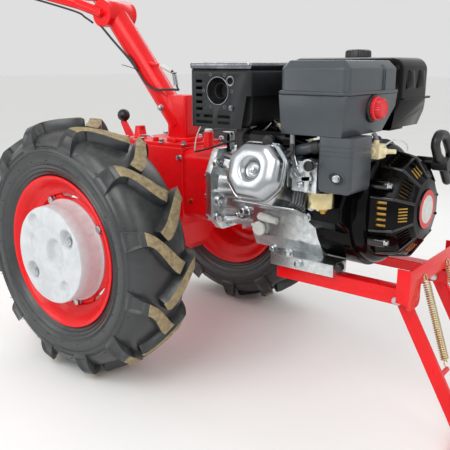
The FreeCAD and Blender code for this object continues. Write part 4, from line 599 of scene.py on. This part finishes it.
def makeWheelFittings(side):
    bm = bmesh.new()
    for x, z in weightShape["nuts"]:
        addBolt(bm, (x, -84, z), (0, -1, 0), 17, 8, 12)
        bmesh.ops.create_cone(bm, cap_ends=True, segments=16, radius1=5, radius2=4.4, depth=8,
                              matrix=Matrix.Translation((x, -91.9, z)) @ Matrix.Rotation(pi / 2, 4, "X"))
    for turn in rimShape["nutsAt"]:
        angle = radians(turn)
        place = (rimShape["nutCircle"] * cos(angle), -33, rimShape["nutCircle"] * sin(angle))
        addBolt(bm, place, (0, -1, 0), 15, 8, 10)
    bmesh.ops.recalc_face_normals(bm, faces=bm.faces)
    return toWheel(bm, side)


for side in ("right", "left"):
    body = "wheel_" + side
    tyre = finishPiece(makeTyre(side), side + "Tyre", ["tyreRubber", "dustyLugRubber"], 40, body)
    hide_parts("tyre_" + side)
    rim = finishPiece(makeRim(side), side + "Rim", "redEnamel", 40, body)
    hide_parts("rim_" + side)
    weight = finishPiece(makeWeight(side), side + "Weight", "sandCastPaint", 45, body)
    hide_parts("weight_" + side)
    finishPiece(makeWheelFittings(side), side + "WheelNuts", "zincPlate", 30, body)
    softenNode("hub_" + side, ["castRedEnamel"], 1.5)
print("wheels made")

# Castings and pressings that keep the solid's shape: node, finish, edge easing in mm, segments
softened = [
    ("gearbox_case", "castRedEnamel", 2.5, 3), ("gearbox_cover", "castRedEnamel", 1.8, 2),
    ("clutch_housing", "castRedEnamel", 2.5, 3), ("axle_housing_right", "castRedEnamel", 1.6, 2),
    ("axle_housing_left", "castRedEnamel", 1.6, 2), ("adapter_bell", "castAluminium", 1.6, 2),
    ("engine_crankcase", "castAluminium", 2, 2), ("engine_cylinder", "castAluminium", 0.6, 2),
    ("cylinder_shield", "brightPlate", 0.6, 2), ("fan_housing", "glossBlackEnamel", 2.5, 3),
    ("starter_handle", "blackNylon", 0, 2), ("fuel_tank", "glossBlackEnamel", 1.6, 2),
    ("tank_bracket", "glossBlackEnamel", 1, 2), ("air_cleaner_base", "mouldedGreyPlastic", 1.6, 2),
    ("air_cleaner_cover", "mouldedGreyPlastic", 2, 3), ("intake_elbow", "mouldedGreyPlastic", 1.6, 2),
    ("muffler_guard", "satinGuardPaint", 0.6, 2), ("muffler", "heatPaint", 1, 2),
    ("exhaust_pipe", "heatPaint", 0.8, 2), ("frame_rail_right", "redEnamel", 1.6, 3),
    ("frame_rail_left", "redEnamel", 1.6, 3), ("front_plate", "redEnamel", 1.5, 3),
    ("stand_pin_right", "zincPlate", 1, 2), ("stand_pin_left", "zincPlate", 1, 2),
    ("stand_frame", "redEnamel", 1.6, 2), ("steering_base", "castRedEnamel", 1.8, 2),
    ("steering_column", "redEnamel", 1.4, 2), ("handlebar_frame", "redEnamel", 0, 2),
    ("hand_grips", "gripRubber", 2, 3), ("control_levers", "blackNylon", 1, 2), ("gear_knob", "blackNylon", 0, 2),
    ("hitch_bracket", "castRedEnamel", 2, 2), ("output_shaft", "zincPlate", 0.8, 2),
]
for node, finish, width, segments in softened:
    softenNode(node, [finish], width, segments)
print("castings and pressings dressed", len(softened))

# Engine details

starter = {"slotFloor": 87, "slotFront": (615, 637), "faceFloor": 645.5, "corners": range(18, 378, 36)}


def starterFinish(x, y, z, normal):
    # the fan's mesh shows gold at the bottom of the slots
    away = hypot(y, z - crankZ)
    low, high = starter["slotFront"]
    sideSlot = low < x < high and away < starter["slotFloor"] and abs(normal.x) < 0.5
    faceSlot = x < starter["faceFloor"] and normal.x > 0.9 and away < 100
    return 1 if sideSlot or faceSlot else 0


softenNode("recoil_starter", ["glossBlackEnamel", "brass"], 1.4, 2, choose=starterFinish)
softenNode("carburettor", ["castAluminium", "yellowZinc"], 1, 2, choose=lambda x, y, z, normal: 1 if z < 463 else 0)

# perforated liner behind the slots
liner = {"rings": ((604, 101.5), (645.5, 94), (669, 57), (670, 20))}
bm = bmesh.new()
addLoft(bm, [[aboutCrank(x, radius, turn) for turn in starter["corners"]] for x, radius in liner["rings"]])
finishPiece(bm, "starterLiner", "brass", 20)

# raised ribs over the corners of the cone
ribs = {"rows": [(604, 106.5), (626, 103), (645, 98.8), (650, 95), (661, 79), (672.5, 61.5)], "radius": 3.6}
addRuns("starterRibs", "chassis", "pooledBlackEnamel", ribs["radius"], [
    [aboutCrank(x, radius, turn) for x, radius in ribs["rows"]] for turn in starter["corners"]], 2, 3)

# the slots of the cone's plain facets, as strips of the fan's mesh laid in them
slots = {"facets": {36: 3, 108: 3, 180: 5, 252: 3, 324: 3}, "middle": (660.3, 78.6), "slope": (0.584, -0.811),
         "half": 10, "row": 30}
bm = bmesh.new()
for facet, count in slots["facets"].items():
    c, s = cos(radians(facet)), sin(radians(facet))
    down, out = slots["slope"]
    middleX, middleR = slots["middle"]
    seat = Matrix(((down, 0, -out, middleX), (out * c, s, down * c, middleR * c),
                   (out * s, -c, down * s, crankZ + middleR * s), (0, 0, 0, 1)))
    long, wide = slots["half"], 6.5 / count
    for step in range(count):
        middle = (step - count / 2 + 0.5) * slots["row"] / count
        addSlab(bm, "XY", box(-long, middle - wide, long, middle + wide), -1, 0.35, 1, 0.25, seat)
finishPiece(bm, "starterMesh", "brass")

badge = {"face": 675.5, "rings": [("badgeRed", "redNylon", 39, 0), ("badgeWhite", "whiteSleeve", 28, 0.7)]}
for name, finish, radius, step in badge["rings"]:
    bm = bmesh.new()
    addTurned(bm, [(0, 0), (0, radius), (1.4 + step, radius), (1.6 + step, radius - 1.5), (1.6 + step, 0)],
              (badge["face"], 0, crankZ), (1, 0, 0), 72, 0.3)
    finishPiece(bm, name, finish)

ears = {"angles": (31, 149, 211, 329), "radius": 106.56, "from": 602, "to": 634}
bm = bmesh.new()
for turn in ears["angles"]:
    addTurned(bm, [(0, 0), (0, 11), (ears["to"] - ears["from"], 9), (ears["to"] - ears["from"], 0)],
              aboutCrank(ears["from"], ears["radius"], turn), (1, 0, 0), 28, 1.2)
finishPiece(bm, "starterEars", "pooledBlackEnamel", 35)

# polished pressed cover on the head: rolled flange, gutter, domed face with a deep funnel for its bolt
cover = {
    "place": Matrix.Translation((445, 0, crankZ)) @ Matrix.Rotation(radians(90 - 18.5), 4, "X"),
    "steps": 96, "soft": 26,
    # out along the cylinder, half length, half height, corner cut, share of a circle
    "rows": [(258.2, 50, 45, 26, 0), (258.2, 60.4, 55.4, 28, 0), (259.5, 61, 56, 28, 0), (264.5, 61, 56, 28, 0),
             (266, 60, 55, 28, 0), (265, 57.8, 52.8, 28, 0), (267, 57, 52, 28, 0), (275, 56, 51, 28, 0),
             (280, 54, 49, 27, 0), (283.4, 50.5, 45.5, 25, 0), (285.8, 45, 40.5, 21, 0.1), (287.3, 37, 35, 16, 0.45),
             (288, 25, 25, 0, 1), (287.4, 22.5, 22.5, 0, 1), (285.2, 20, 20, 0, 1), (281, 17, 17, 0, 1),
             (277, 14.5, 14.5, 0, 1), (276, 11, 11, 0, 1)],
}


def coverRing(out, halfX, halfY, cut, roundness):
    ring = []
    reach = (halfX + halfY - cut) / 2 ** 0.5
    for index in range(cover["steps"]):
        angle = 2 * pi * index / cover["steps"]
        total = 0
        for side in range(8):
            distance = reach if side % 2 else (halfY if side in (2, 6) else halfX)
            total += (max(0, cos(angle - side * pi / 4)) / distance) ** cover["soft"]
        radius = total ** (-1 / cover["soft"]) * (1 - roundness) + halfX * roundness
        ring.append((radius * cos(angle), radius * sin(angle), out))
    return ring


bm = bmesh.new()
addLoft(bm, [coverRing(*row) for row in cover["rows"]], cover["place"])
piece = finishPiece(bm, "rockerCoverPolished", "brightPlate")
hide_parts("rocker_cover")
outwards = cover["place"].to_3x3() @ Vector((0, 0, 1))
bm = bmesh.new()
addBolt(bm, cover["place"] @ Vector((0, 0, 276)), outwards, 11, 5.5, 9)
finishPiece(bm, "rockerCoverBolt", "zincPlate")

# red knob with pressed grips, on its black collar
knob = {"place": (609, -117, 616), "grips": 26,
        "rows": [(0, 20, 0), (1.5, 21.5, 0.2), (5.5, 21.5, 0.9), (7.5, 18.5, 0.9), (15.5, 18, 1), (18, 16.5, 0.5),
                 (19.5, 14, 0),
                 (18.2, 12.5, 0)]}
bm = bmesh.new()
rings = []
for out, radius, grip in knob["rows"]:
    turns = [2 * pi * index / (4 * knob["grips"]) for index in range(4 * knob["grips"])]
    rings.append([(out, (radius - grip * (0.5 + 0.5 * cos(knob["grips"] * turn))) * cos(turn),
                   (radius - grip * (0.5 + 0.5 * cos(knob["grips"] * turn))) * sin(turn)) for turn in turns])
addLoft(bm, rings, Matrix.Translation(knob["place"]))
piece = finishPiece(bm, "knobRibbed", "redNylon")
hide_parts("cleaner_knob")
bm = bmesh.new()
addTurned(bm, [(-2, 0), (-2, 26), (4.5, 25), (6, 23), (6, 0)], (603.5, -116, 616), (1, 0, 0), 56, 0.8)
# cap of the fuel tank with grips and a stepped crown
addLoft(bm, [[((radius - grip * (0.5 + 0.5 * cos(24 * turn))) * cos(turn),
               (radius - grip * (0.5 + 0.5 * cos(24 * turn))) * sin(turn), z)
              for turn in (2 * pi * index / 96 for index in range(96))]
             for z, radius, grip in ((0, 27, 0), (1.5, 28, 0.3), (12, 27.5, 1.3), (15, 26, 0.5), (17, 22, 0),
                                     (16.2, 18, 0),
                                     (16.2, 8, 0), (17.6, 6, 0))], Matrix.Translation((465, 93, 707)))
piece = finishPiece(bm, "collarAndFuelCap", "blackNylon")
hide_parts("fuel_cap")

# two panels pressed in the tank's front
tankPanels = [[(48, 645), (94, 645), (86, 683), (58, 683)], [(103, 645), (148, 645), (141, 683), (112, 683)]]
bm = bmesh.new()
for outline in tankPanels:
    addSlab(bm, "YZ", outline, 594, 597.8, 6, 1.7)
finishPiece(bm, "tankPressings", "glossBlackEnamel")

# carburettor fittings: throttle and choke levers, bowl nut, gasket flange
carburettor = {
    "levers": [((518, 488), (548, 492), (549, 500), (520, 497), (512, 505), (506, 500)),
               ((534, 470), (540, 470), (546, 500), (541, 512), (534, 508))],
    "bosses": [((524, -222, 512), (0, -1, 0), 8, 6), ((542, -224, 519), (0, -1, 0), 12, 9),
               ((532, -224, 494), (0, -1, 0), 5, 5)],
}
bm = bmesh.new()
for outline in carburettor["levers"]:
    addSlab(bm, "XZ", outline, -229, -227, 2, 0.4)
for place, direction, radius, high in carburettor["bosses"]:
    addTurned(bm, [(-6, 0), (-6, radius), (high, radius), (high, 0)], place, direction, 32, 0.8)
addSlab(bm, "YZ", box(-226, 472, -166, 526), 492, 497, 9, 0.6)
finishPiece(bm, "carburettorFittings", "castAluminium", 32)
bm = bmesh.new()
addTurned(bm, [(0, 0), (0, 9.5), (7, 9.5), (7, 7), (4, 6.5), (4, 0)], (546, -231, 519), (0, -1, 0), 40, 0.7)
addTurned(bm, [(0, 0), (0, 10), (3, 12), (20, 11), (24, 8), (24, 0)], (450, -218, 555), (0.42, -0.8, 0.1), 30, 1.2)
addSlab(bm, "XZ", box(486, 470, 496, 540), -226, -190, 4, 0.8)
finishPiece(bm, "chokeKnobAndPlugCap", "blackNylon", 32)
bm = bmesh.new()
addTurned(bm, [(-2, 0), (-2, 9), (3, 9), (5, 6), (9, 5), (9, 0)], (556, -196, 437), (0, 0, -1), 28, 0.5)
finishPiece(bm, "bowlNut", "brass")

addRuns("breatherHose", "chassis", "mouldedGreyPlastic", 10.5, [[
    (446, -196, 512), (455, -200, 521), (469, -200, 529), (490, -200, 537), (513, -200, 543), (538, -200, 549),
    (560, -196, 552)]], 6, 5)
addRuns("hoseEnds", "chassis", "hoseRubber", 12.5, [[(447, -198, 514), (453, -199, 519)],
                                                    [(534, -200, 548), (548, -199, 551)]], 2, 5)
addRuns("sparkLead", "chassis", "hoseRubber", 3.6, [[
    (458, -236, 566), (452, -237, 559), (453, -236, 549), (462, -235, 539.5), (477, -235, 532), (490, -234, 529.5),
    (500, -230, 533.5),
    (503, -222, 541), (497, -214, 556), (490, -205, 566), (486, -190, 570)]])
addRuns("fuelHoses", "chassis", "greyHose", 4.4, [
    [(498, -215, 570), (498.6, -215, 549), (500.2, -215, 530), (506, -216, 511), (517, -219, 496.5),
     (531, -221, 489.5), (545, -222, 490)],
    [(606, -95, 553), (605, -96, 562), (600, -98, 570)]])
addRuns("throttleCable", "chassis", "hoseRubber", 2.4, [
    [(148, -84, 496), (180, -84, 504), (215, -84, 515), (249, -84, 526), (300, -84, 541), (341, -84, 553),
     (372, -96, 561)],
    [(249, -84, 526), (290, -90, 534), (335, -100, 548), (378, -120, 562)]])
addRuns("thinWires", "chassis", "whiteSleeve", 1.5, [
    [(262, -62, 590), (214, -64, 582), (168, -70, 566), (155, -80, 540), (150, -84, 515), (148, -84, 496)],
    [(618, -92, 545), (632, -72, 557), (646, -54, 551), (650, -50, 536)]])

# black shroud over the cylinder with the governor's levers and rods on it
governor = {
    "shroud": [(-62, 57), (50, 57), (58, 63), (58, 72), (48, 80), (-52, 80), (-62, 70)],
    "levers": [("XZ", [(352, 560), (360, 556), (405, 572), (432, 566), (436, 574), (404, 582)], -172, -169, 3),
               ("XZ", [(415, 535), (423, 533), (432, 590), (424, 592)], -168, -165, 3),
               ("XZ", [(372, 545), (392, 545), (392, 585), (372, 580)], -150, -120, 4)],
}
bm = bmesh.new()
addSlab(bm, "XY", governor["shroud"], 132, 246, 5, 1.2, cover["place"])
for plane, outline, low, high, corner in governor["levers"]:
    addSlab(bm, plane, outline, low, high, corner, 0.5)
addSlab(bm, "XZ", [(478, 555), (495, 555), (499, 572), (474, 572)], -190, -120, 3, 0.8)
addSlab(bm, "XZ", [(384, 540), (434, 540), (434, 574), (384, 578)], -152, -148, 4, 0.8)
for pivot in ((392, -175, 568), (424, -175, 562)):
    addTurned(bm, [(0, 0), (0, 4.5), (26, 4.5), (26, 0)], pivot, (0, 1, 0), 24, 0.8)
finishPiece(bm, "shroudAndGovernor", "glossBlackEnamel", 32)
addRuns("governorRods", "chassis", "zincPlate", 1.5, [
    [(356, -172, 560), (380, -176, 562), (410, -178, 570), (424, -174, 584)],
    [(428, -170, 588), (460, -190, 570), (500, -215, 540), (520, -228, 510)],
    [(418, -170, 540), (450, -200, 548), (505, -226, 520)]])

# cream fuel tap on its bracket
tap = {"body": box(588, 523, 620, 550), "low": -110, "high": -80}
bm = bmesh.new()
addSlab(bm, "XZ", tap["body"], tap["low"], tap["high"], 3, 1.2)
addTurned(bm, [(0, 0), (0, 7), (8, 6.5), (10, 4.6), (26, 4.2), (26, 0)], (619, -95, 537), (1, 0, 0.05), 28, 0.6)
addTurned(bm, [(0, 0), (0, 6), (9, 5), (9, 0)], (606, -95, 548), (0, 0, 1), 28, 0.6)
addTurned(bm, [(0, 0), (0, 8), (4, 8), (5, 6), (5, 0)], (605, -110, 537), (0, -1, 0), 32, 0.6)
finishPiece(bm, "fuelTap", "creamAcetal", 32)
bm = bmesh.new()
addSlab(bm, "XZ", [(578, 515), (600, 515), (600, 526), (616, 526), (616, 530), (578, 530)], -104, -70, 2, 0.8)
addSlab(bm, "XZ", box(583, 520, 601, 556), -74, -62, 4, 0.8)
addTurned(bm, [(0, 0), (0, 9), (8, 9), (8, 0)], (592, -58, 552), (0, -1, 0), 28, 0.8)
finishPiece(bm, "tapBracket", "blackNylon", 32)

# elbow: moulded ribs under its flange and an oval pocket with a bolt; the pocket is a flat black oval whose black is
# painted shade
elbow = {"ribs": (538, 546, 554), "oval": (594, -220.2, 500)}
bm = bmesh.new()
for z in elbow["ribs"]:
    addSlab(bm, "XY", box(553.6, -221, 620.6, -145), z, z + 2.2, 9, 0.6)
finishPiece(bm, "elbowRibs", "mouldedGreyPlastic", 32)
ovalPlace = Matrix.Translation(elbow["oval"]) @ Matrix.Rotation(0.25, 4, "Y") @ Matrix.Diagonal((1, 1, 0.66, 1))
for name, finish, outline in (("elbowPocketPaintedShade", "blackNylon", [(-1, 0), (-1, 15), (0.5, 15), (0.5, 0)]),
                              ("elbowLip", "mouldedGreyPlastic", [(-1, 14.5), (-1, 17.5), (1.2, 17), (1.8, 15.5),
                                  (1.2, 14.5)])):
    bm = bmesh.new()
    addTurned(bm, outline, (0, 0, 0), (0, -1, 0), 40, 0.2)
    bmesh.ops.transform(bm, verts=bm.verts, matrix=ovalPlace)
    finishPiece(bm, name, finish, 32)

# guard: pierced ring round its outlet and small holes in its top, drawn as flat black discs whose black is painted
# shade; grommet, seam of its top, and steel rims round the outlet and holes whose pale grey is painted highlight
guard = {"outlet": (328, 643), "ring": 35, "hole": 2.3, "lid": (684, 697)}
# the holes are flat black discs on the sheet: their black is painted shade of the holes' insides
bm = bmesh.new()
for index in range(6):
    angle = index * pi / 3
    addTurned(bm, [(-1, 0), (-1, guard["hole"]), (0.5, guard["hole"]), (0.5, 0)],
              (guard["outlet"][0] + guard["ring"] * cos(angle), -220,
               guard["outlet"][1] + guard["ring"] * sin(angle)),
              (0, -1, 0), 16, 0)
for x in range(278, 386, 12):
    for y in (-200, -188):
        addTurned(bm, [(-1, 0), (-1, 3.4), (0.4, 3.4), (0.4, 0)], (x, y, guard["lid"][1]), (0, 0, 1), 16, 0)
finishPiece(bm, "guardHolesPaintedShade", "blackNylon")
bm = bmesh.new()
# grommet, rings round the outlet and the six holes, and a band over the top, all pale steel: on the black sheet the
# rings' and band's pale grey is painted highlight and painted reflection; the bolt is pale of its own
addTurned(bm, [(0, 6.6), (0, 10), (1, 9.8), (1.2, 8.4), (1, 6.6)], (359, -220, 662), (0, -1, 0), 36, 0.2)
addTurned(bm, [(0, 25.4), (0, 28), (1.2, 27.6), (1.6, 26.4), (1.2, 25.4)], (328, -220, 643), (0, -1, 0), 64, 0.2)
addBolt(bm, (362, -220, 612), (0, -1, 0), 8, 3, 6)
for index in range(6):
    addTurned(bm, [(0, 2.3), (0, 3.6), (0.7, 3.3), (0.7, 2.3)],
              (guard["outlet"][0] + guard["ring"] * cos(index * pi / 3), -220,
               guard["outlet"][1] + guard["ring"] * sin(index * pi / 3)),
              (0, -1, 0), 20, 0)
addSlab(bm, "XY", box(254.5, -221, 406.5, -39.5), *guard["lid"], 8, 4.5)
finishPiece(bm, "guardRimsAndPaintedHighlight", "burnishedSteel")
bm = bmesh.new()
for y in (-82, -76):
    addSlab(bm, "XZ", [(598, 644), (608.2, 644), (608.2, 684), (601.5, 693), (598, 693)], y, y + 2.2, 0.8, 0.5)
finishPiece(bm, "cleanerRibs", "mouldedGreyPlastic")

# Fasteners by finish and body, then by the way they point: place, across flats, height, washer radius
fasteners = {
    ("zincPlate", "chassis"): [
        ((-1, 0, 0), [((213, -113, 448), 11, 6, 8), ((213, -113, 403), 11, 6, 8), ((213, -106, 352), 11, 6, 8),
                      ((213, 113, 448), 11, 6, 8), ((213, 113, 403), 11, 6, 8), ((213, 106, 352), 11, 6, 8)]),
        ((1, 0, 0), [((238, -104, 481), 10, 6, 8), ((228, -58, 332), 11, 7, 8), ((228, 104, 481), 13, 8, 10),
                     ((228, 98, 380), 13, 8, 10)]),
        ((1, -0.3, 0), [((240, -98, 394), 16, 7, 12), ((236, -101, 356), 11, 6, 8)]),
        ((0, -1, 0), [((275, -80, 364), 9, 8, 7), ((96, -80, 477), 11, 5, 8), ((298, -84, 378), 14, 14, 10),
                      ((314, -84, 378), 14, 14, 10), ((441, -125, 315), 14, 8, 11), ((466, -125, 296), 14, 8, 11),
                      ((387, -100, 310), 12, 9, 9), ((505, -165, 408), 12, 6, 9), ((513, -165, 430), 12, 6, 9),
                      ((594, -219.5, 500), 11, 5, 7), ((524, -224, 482), 8, 5, 6)]),
        ((0, 1, 0), [((96, 80, 477), 11, 5, 8)]),
    ],
    ("brass", "chassis"): [
        ((0, -1, 0), [((127, -75.7, 375), 9, 5, 6), ((20, -80, 330), 14, 6, 10)]),
    ],
    ("blackNylon", "chassis"): [
        ((0, -1, 0), [((551, -110, 303), 13, 9, 10)]),
    ],
    ("zincPlate", "column"): [
        ((0, -1, 0), [((-10, -30, 588), 12, 6, 9)]),
    ],
    ("zincPlate", "handlebar"): [],
}
zinc = fasteners["zincPlate", "chassis"]
zinc += [((1, 0, 0), [(aboutCrank(ears["to"], ears["radius"], turn), 10, 5, 7) for turn in ears["angles"]]),
         ((0, 0, 1), [((x, y, 508), 11, 6, 8) for x in (-95, -39, 30, 102) for y in (-72, 72)])]
for side in (-1, 1):
    zinc += [((0, 0, -1), [((x, side * 92, 284), 13, 7, 10) for x in (388, 415)]),
             ((0, side, 0), [((670, side * 108, 259), 10, 5, 7)])]
    fasteners["zincPlate", "handlebar"].append(((0, side, 0), [((-832, side * 271, 968), 9, 4, 6)]))
for (finish, body), ways in fasteners.items():
    bm = bmesh.new()
    for direction, bolts in ways:
        for place, across, high, washer in bolts:
            addBolt(bm, place, direction, across, high, washer)
    bmesh.ops.recalc_face_normals(bm, faces=bm.faces)
    finishPiece(bm, body + "Fasteners" + finish[0].upper() + finish[1:], finish, 30, body)

# Crankcase side: oil dipstick with its slotted cap, drain, round boss
bm = bmesh.new()
addTurned(bm, [(-8, 0), (-8, 13), (0, 13), (0, 15.5), (7, 15.5), (9, 13.5), (9, 0)], (349, -101, 348), (0, -1, 0), 44,
          0.8)
addSlab(bm, "XZ", [(330, 352), (338, 350), (338, 356), (331, 358)], -108, -103, 1, 0.5)
addTurned(bm, [(0, 0), (0, 6.5), (3, 8.5), (30, 8.5), (33, 7), (48, 7), (48, 0)], (350, -108, 377), (1, 0, -0.12), 32,
          0.7)
finishPiece(bm, "dipstick", "whiteSleeve", 32)
bm = bmesh.new()
addTurned(bm, [(0, 0), (0, 13), (10, 11), (10, 0)], (228, -104, 481), (1, 0, 0), 30, 1.5)
addTurned(bm, [(0, 0), (0, 15), (12, 13), (12, 0)], (228, -98, 394), (1, 0, 0), 30, 1.5)
addTurned(bm, [(0, 0), (0, 12), (8, 11), (8, 0)], (228, -101, 356), (1, 0, 0), 30, 1.5)
addSlab(bm, "XZ", [(228, 470), (262, 466), (276, 460), (276, 454), (228, 452)], -96, -88, 2, 0.8)
addSlab(bm, "XZ", [(228, 404), (286, 404), (298, 388), (298, 382), (228, 384)], -96, -84, 2, 0.8)
addTurned(bm, [(0, 0), (0, 9), (8, 8), (8, 0)], (275, -72, 364), (0, -1, 0), 28, 0.8)
finishPiece(bm, "castBosses", "castAluminium", 32)

# filler cap of the gearbox, white, on its red boss; clutch arm; gear lever and its link
bm = bmesh.new()
addTurned(bm, [(0, 0), (0, 9), (2, 10), (6, 10), (7.5, 8), (7.5, 0)], (137, -20, 536), (0, 0, 1), 40, 0.8)
finishPiece(bm, "fillerCap", "whiteSleeve", 32)
bm = bmesh.new()
addSlab(bm, "XZ", [(226, 500), (236, 500), (238, 541), (228, 541)], -63, -57, 2, 0.5)
piece = finishPiece(bm, "clutchArm", "glossBlackEnamel", 32)
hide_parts("clutch_lever")
bm = bmesh.new()
addSlab(bm, "XZ", [(218, 546), (239, 546), (241, 540), (241, 506), (238.6, 506), (238.6, 539), (237.5, 543),
                   (218, 543.4)], -67, -53, 1, 0.4)
addSlab(bm, "XZ", [(243, 502), (262, 502), (266, 545), (248, 546)], -40, -37.5, 3, 0.4)
finishPiece(bm, "clutchArmClip", "zincPlate", 32)

bm = bmesh.new()
addSlab(bm, "XZ", [(-170, 546), (-154, 549), (-126, 512), (-104, 500), (-84, 498), (-78, 476), (-118, 470),
                   (-138, 488)], -25, -15, 5, 1.2)
addTurned(bm, [(0, 0), (0, 8), (12, 8), (12, 0)], (-104, -26, 488), (0, 1, 0), 28, 1)
piece = finishPiece(bm, "gearLeverBar", "redEnamel", 32)
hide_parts("gear_lever")
addRuns("gearLink", "chassis", "zincPlate", 2.2, [[(-128, -27, 506), (-100, -28, 512), (-70, -28, 516),
                                                   (-44, -28, 512), (-40, -22, 506)]])

# Stand springs: close coils with a hook at either end
springs = {"top": (704.5, 61, 306), "foot": (762, 62, 133), "radius": 6.7, "wire": 1.4, "pitch": 4.5, "perTurn": 14}
for side, sign in (("right", -1), ("left", 1)):
    top = Vector((springs["top"][0], sign * springs["top"][1], springs["top"][2]))
    foot = Vector((springs["foot"][0], sign * springs["foot"][1], springs["foot"][2]))
    along = (foot - top).normalized()
    across = Vector((0, 1, 0))
    third = along.cross(across)
    radius = springs["radius"]
    coilLong = (foot - top).length - 4 * radius
    turns = round(coilLong / springs["pitch"])
    path = [top + along * radius * (1 - cos(radians(turn))) + across * radius * sin(radians(turn))
            for turn in range(-130, 91, 20)]
    count = turns * springs["perTurn"]
    for index in range(count + 1):
        angle = 2 * pi * index / springs["perTurn"]
        path.append(top + along * (2 * radius + coilLong * index / count)
                    + radius * (across * cos(angle) + third * sin(angle)))
    path += [foot - along * radius * (1 + sin(radians(turn))) + across * radius * cos(radians(turn))
             for turn in range(0, 231, 20)]
    piece = addRuns(side + "StandSpring", "stand", "yellowZinc", springs["wire"], [path], 1, 2)
    if side == "right":
        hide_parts("stand_springs")
print("engine and frame details made")

# Steering column and handlebars: cables held by ties, their adjuster and its spring, the red plug
addRuns("columnCable", "column", "hoseRubber", 2.9, [
    [(-206, -46, 792), (-165, -40, 752), (-124, -34, 714), (-102, -34, 694), (-81, -34, 673), (-56, -35, 647),
     (-18, -36, 632.5),
     (20, -34, 634), (44, -22, 633)],
    [(-120, -33, 716), (-100, -36, 700), (-84, -37, 680)]])
addRuns("tieTails", "column", "hoseRubber", 0.9, [[(-88, -38, 682), (-100, -50, 688), (-118, -58, 693)]])
addRuns("adjusterCore", "column", "hoseRubber", 2.3, [[(16, -20, 679), (26, -20, 673.5), (31, -20, 660),
                                                       (34, -20, 647), (39, -21, 638), (44, -22, 633)]])
bm = bmesh.new()
for height in (673.5, 645.5):
    addTurned(bm, [(-0.9, 0), (-0.9, 7), (0.9, 7), (0.9, 0)], (27.6 + (673.5 - height) * 0.21, -20, height),
              (0.2, 0, -1), 28, 0.3)
finishPiece(bm, "columnSpringSeats", "zincPlate", 30, "column")
addRuns("adjusterSleeve", "column", "whiteSleeve", 5.2, [[(-18, -20, 692), (2, -20, 684), (20, -20, 677)]])
addRuns("columnSpring", "column", "zincPlate", 1, [[
    (27.7 + 5.4 * index / 120 + 5 * cos(2 * pi * index / 12), -20 + 5 * sin(2 * pi * index / 12),
     672 - 26 * index / 120)
    for index in range(121)]], 1, 2)
addRuns("adjusterRod", "column", "redEnamel", 4, [[(-109, -8, 711), (-76, -14, 701), (-43, -18, 693),
                                                   (-20, -20, 692.5), (-6, -20, 687.5)]])
handlebar = {
    # arm from the clamp to its grip
    "arm": [(-200, 40, 822), (-290, 46, 850), (-530, 190, 926), (-800, 262, 998), (-956, 274, 1044)],
    "cable": [(-828, 262, 966), (-806, 260, 972), (-786, 258, 976), (-700, 236, 954), (-610, 212, 929),
              (-530, 190, 906),
              (-420, 124, 872), (-300, 54, 832), (-262, 50, 815), (-232, 50, 800)],
    "ties": [(1, 0.35), (1, 0.75), (2, 0.3), (2, 0.7)],
}
addRuns("handlebarCables", "handlebar", "hoseRubber", 2.6, [
    [(x, side * y, z) for x, y, z in handlebar["cable"]] for side in (-1, 1)])
bm = bmesh.new()
for side in (-1, 1):
    for leg, share in handlebar["ties"]:
        first, second = (Vector((x, side * y, z)) for x, y, z in handlebar["arm"][leg:leg + 2])
        addTurned(bm, [(-1.6, 13.6), (-1.6, 15.4), (1.6, 15.4), (1.6, 13.6)], first.lerp(second, share),
                  second - first, 32, 0.3)
finishPiece(bm, "handlebarTies", "blackNylon", 30, "handlebar")
bm = bmesh.new()
addTurned(bm, [(0, 0), (0, 8), (8, 7.4), (10, 5), (10, 0)], (-4, -58, 508), (0, 0, 1), 28, 0.8)
addTurned(bm, [(0, 0), (0, 5.5), (9, 5), (9, 0)], (60, -58, 508), (0, 0, 1), 28, 0.8)
finishPiece(bm, "caseVent", "redEnamel")
print("column and handlebar details made")
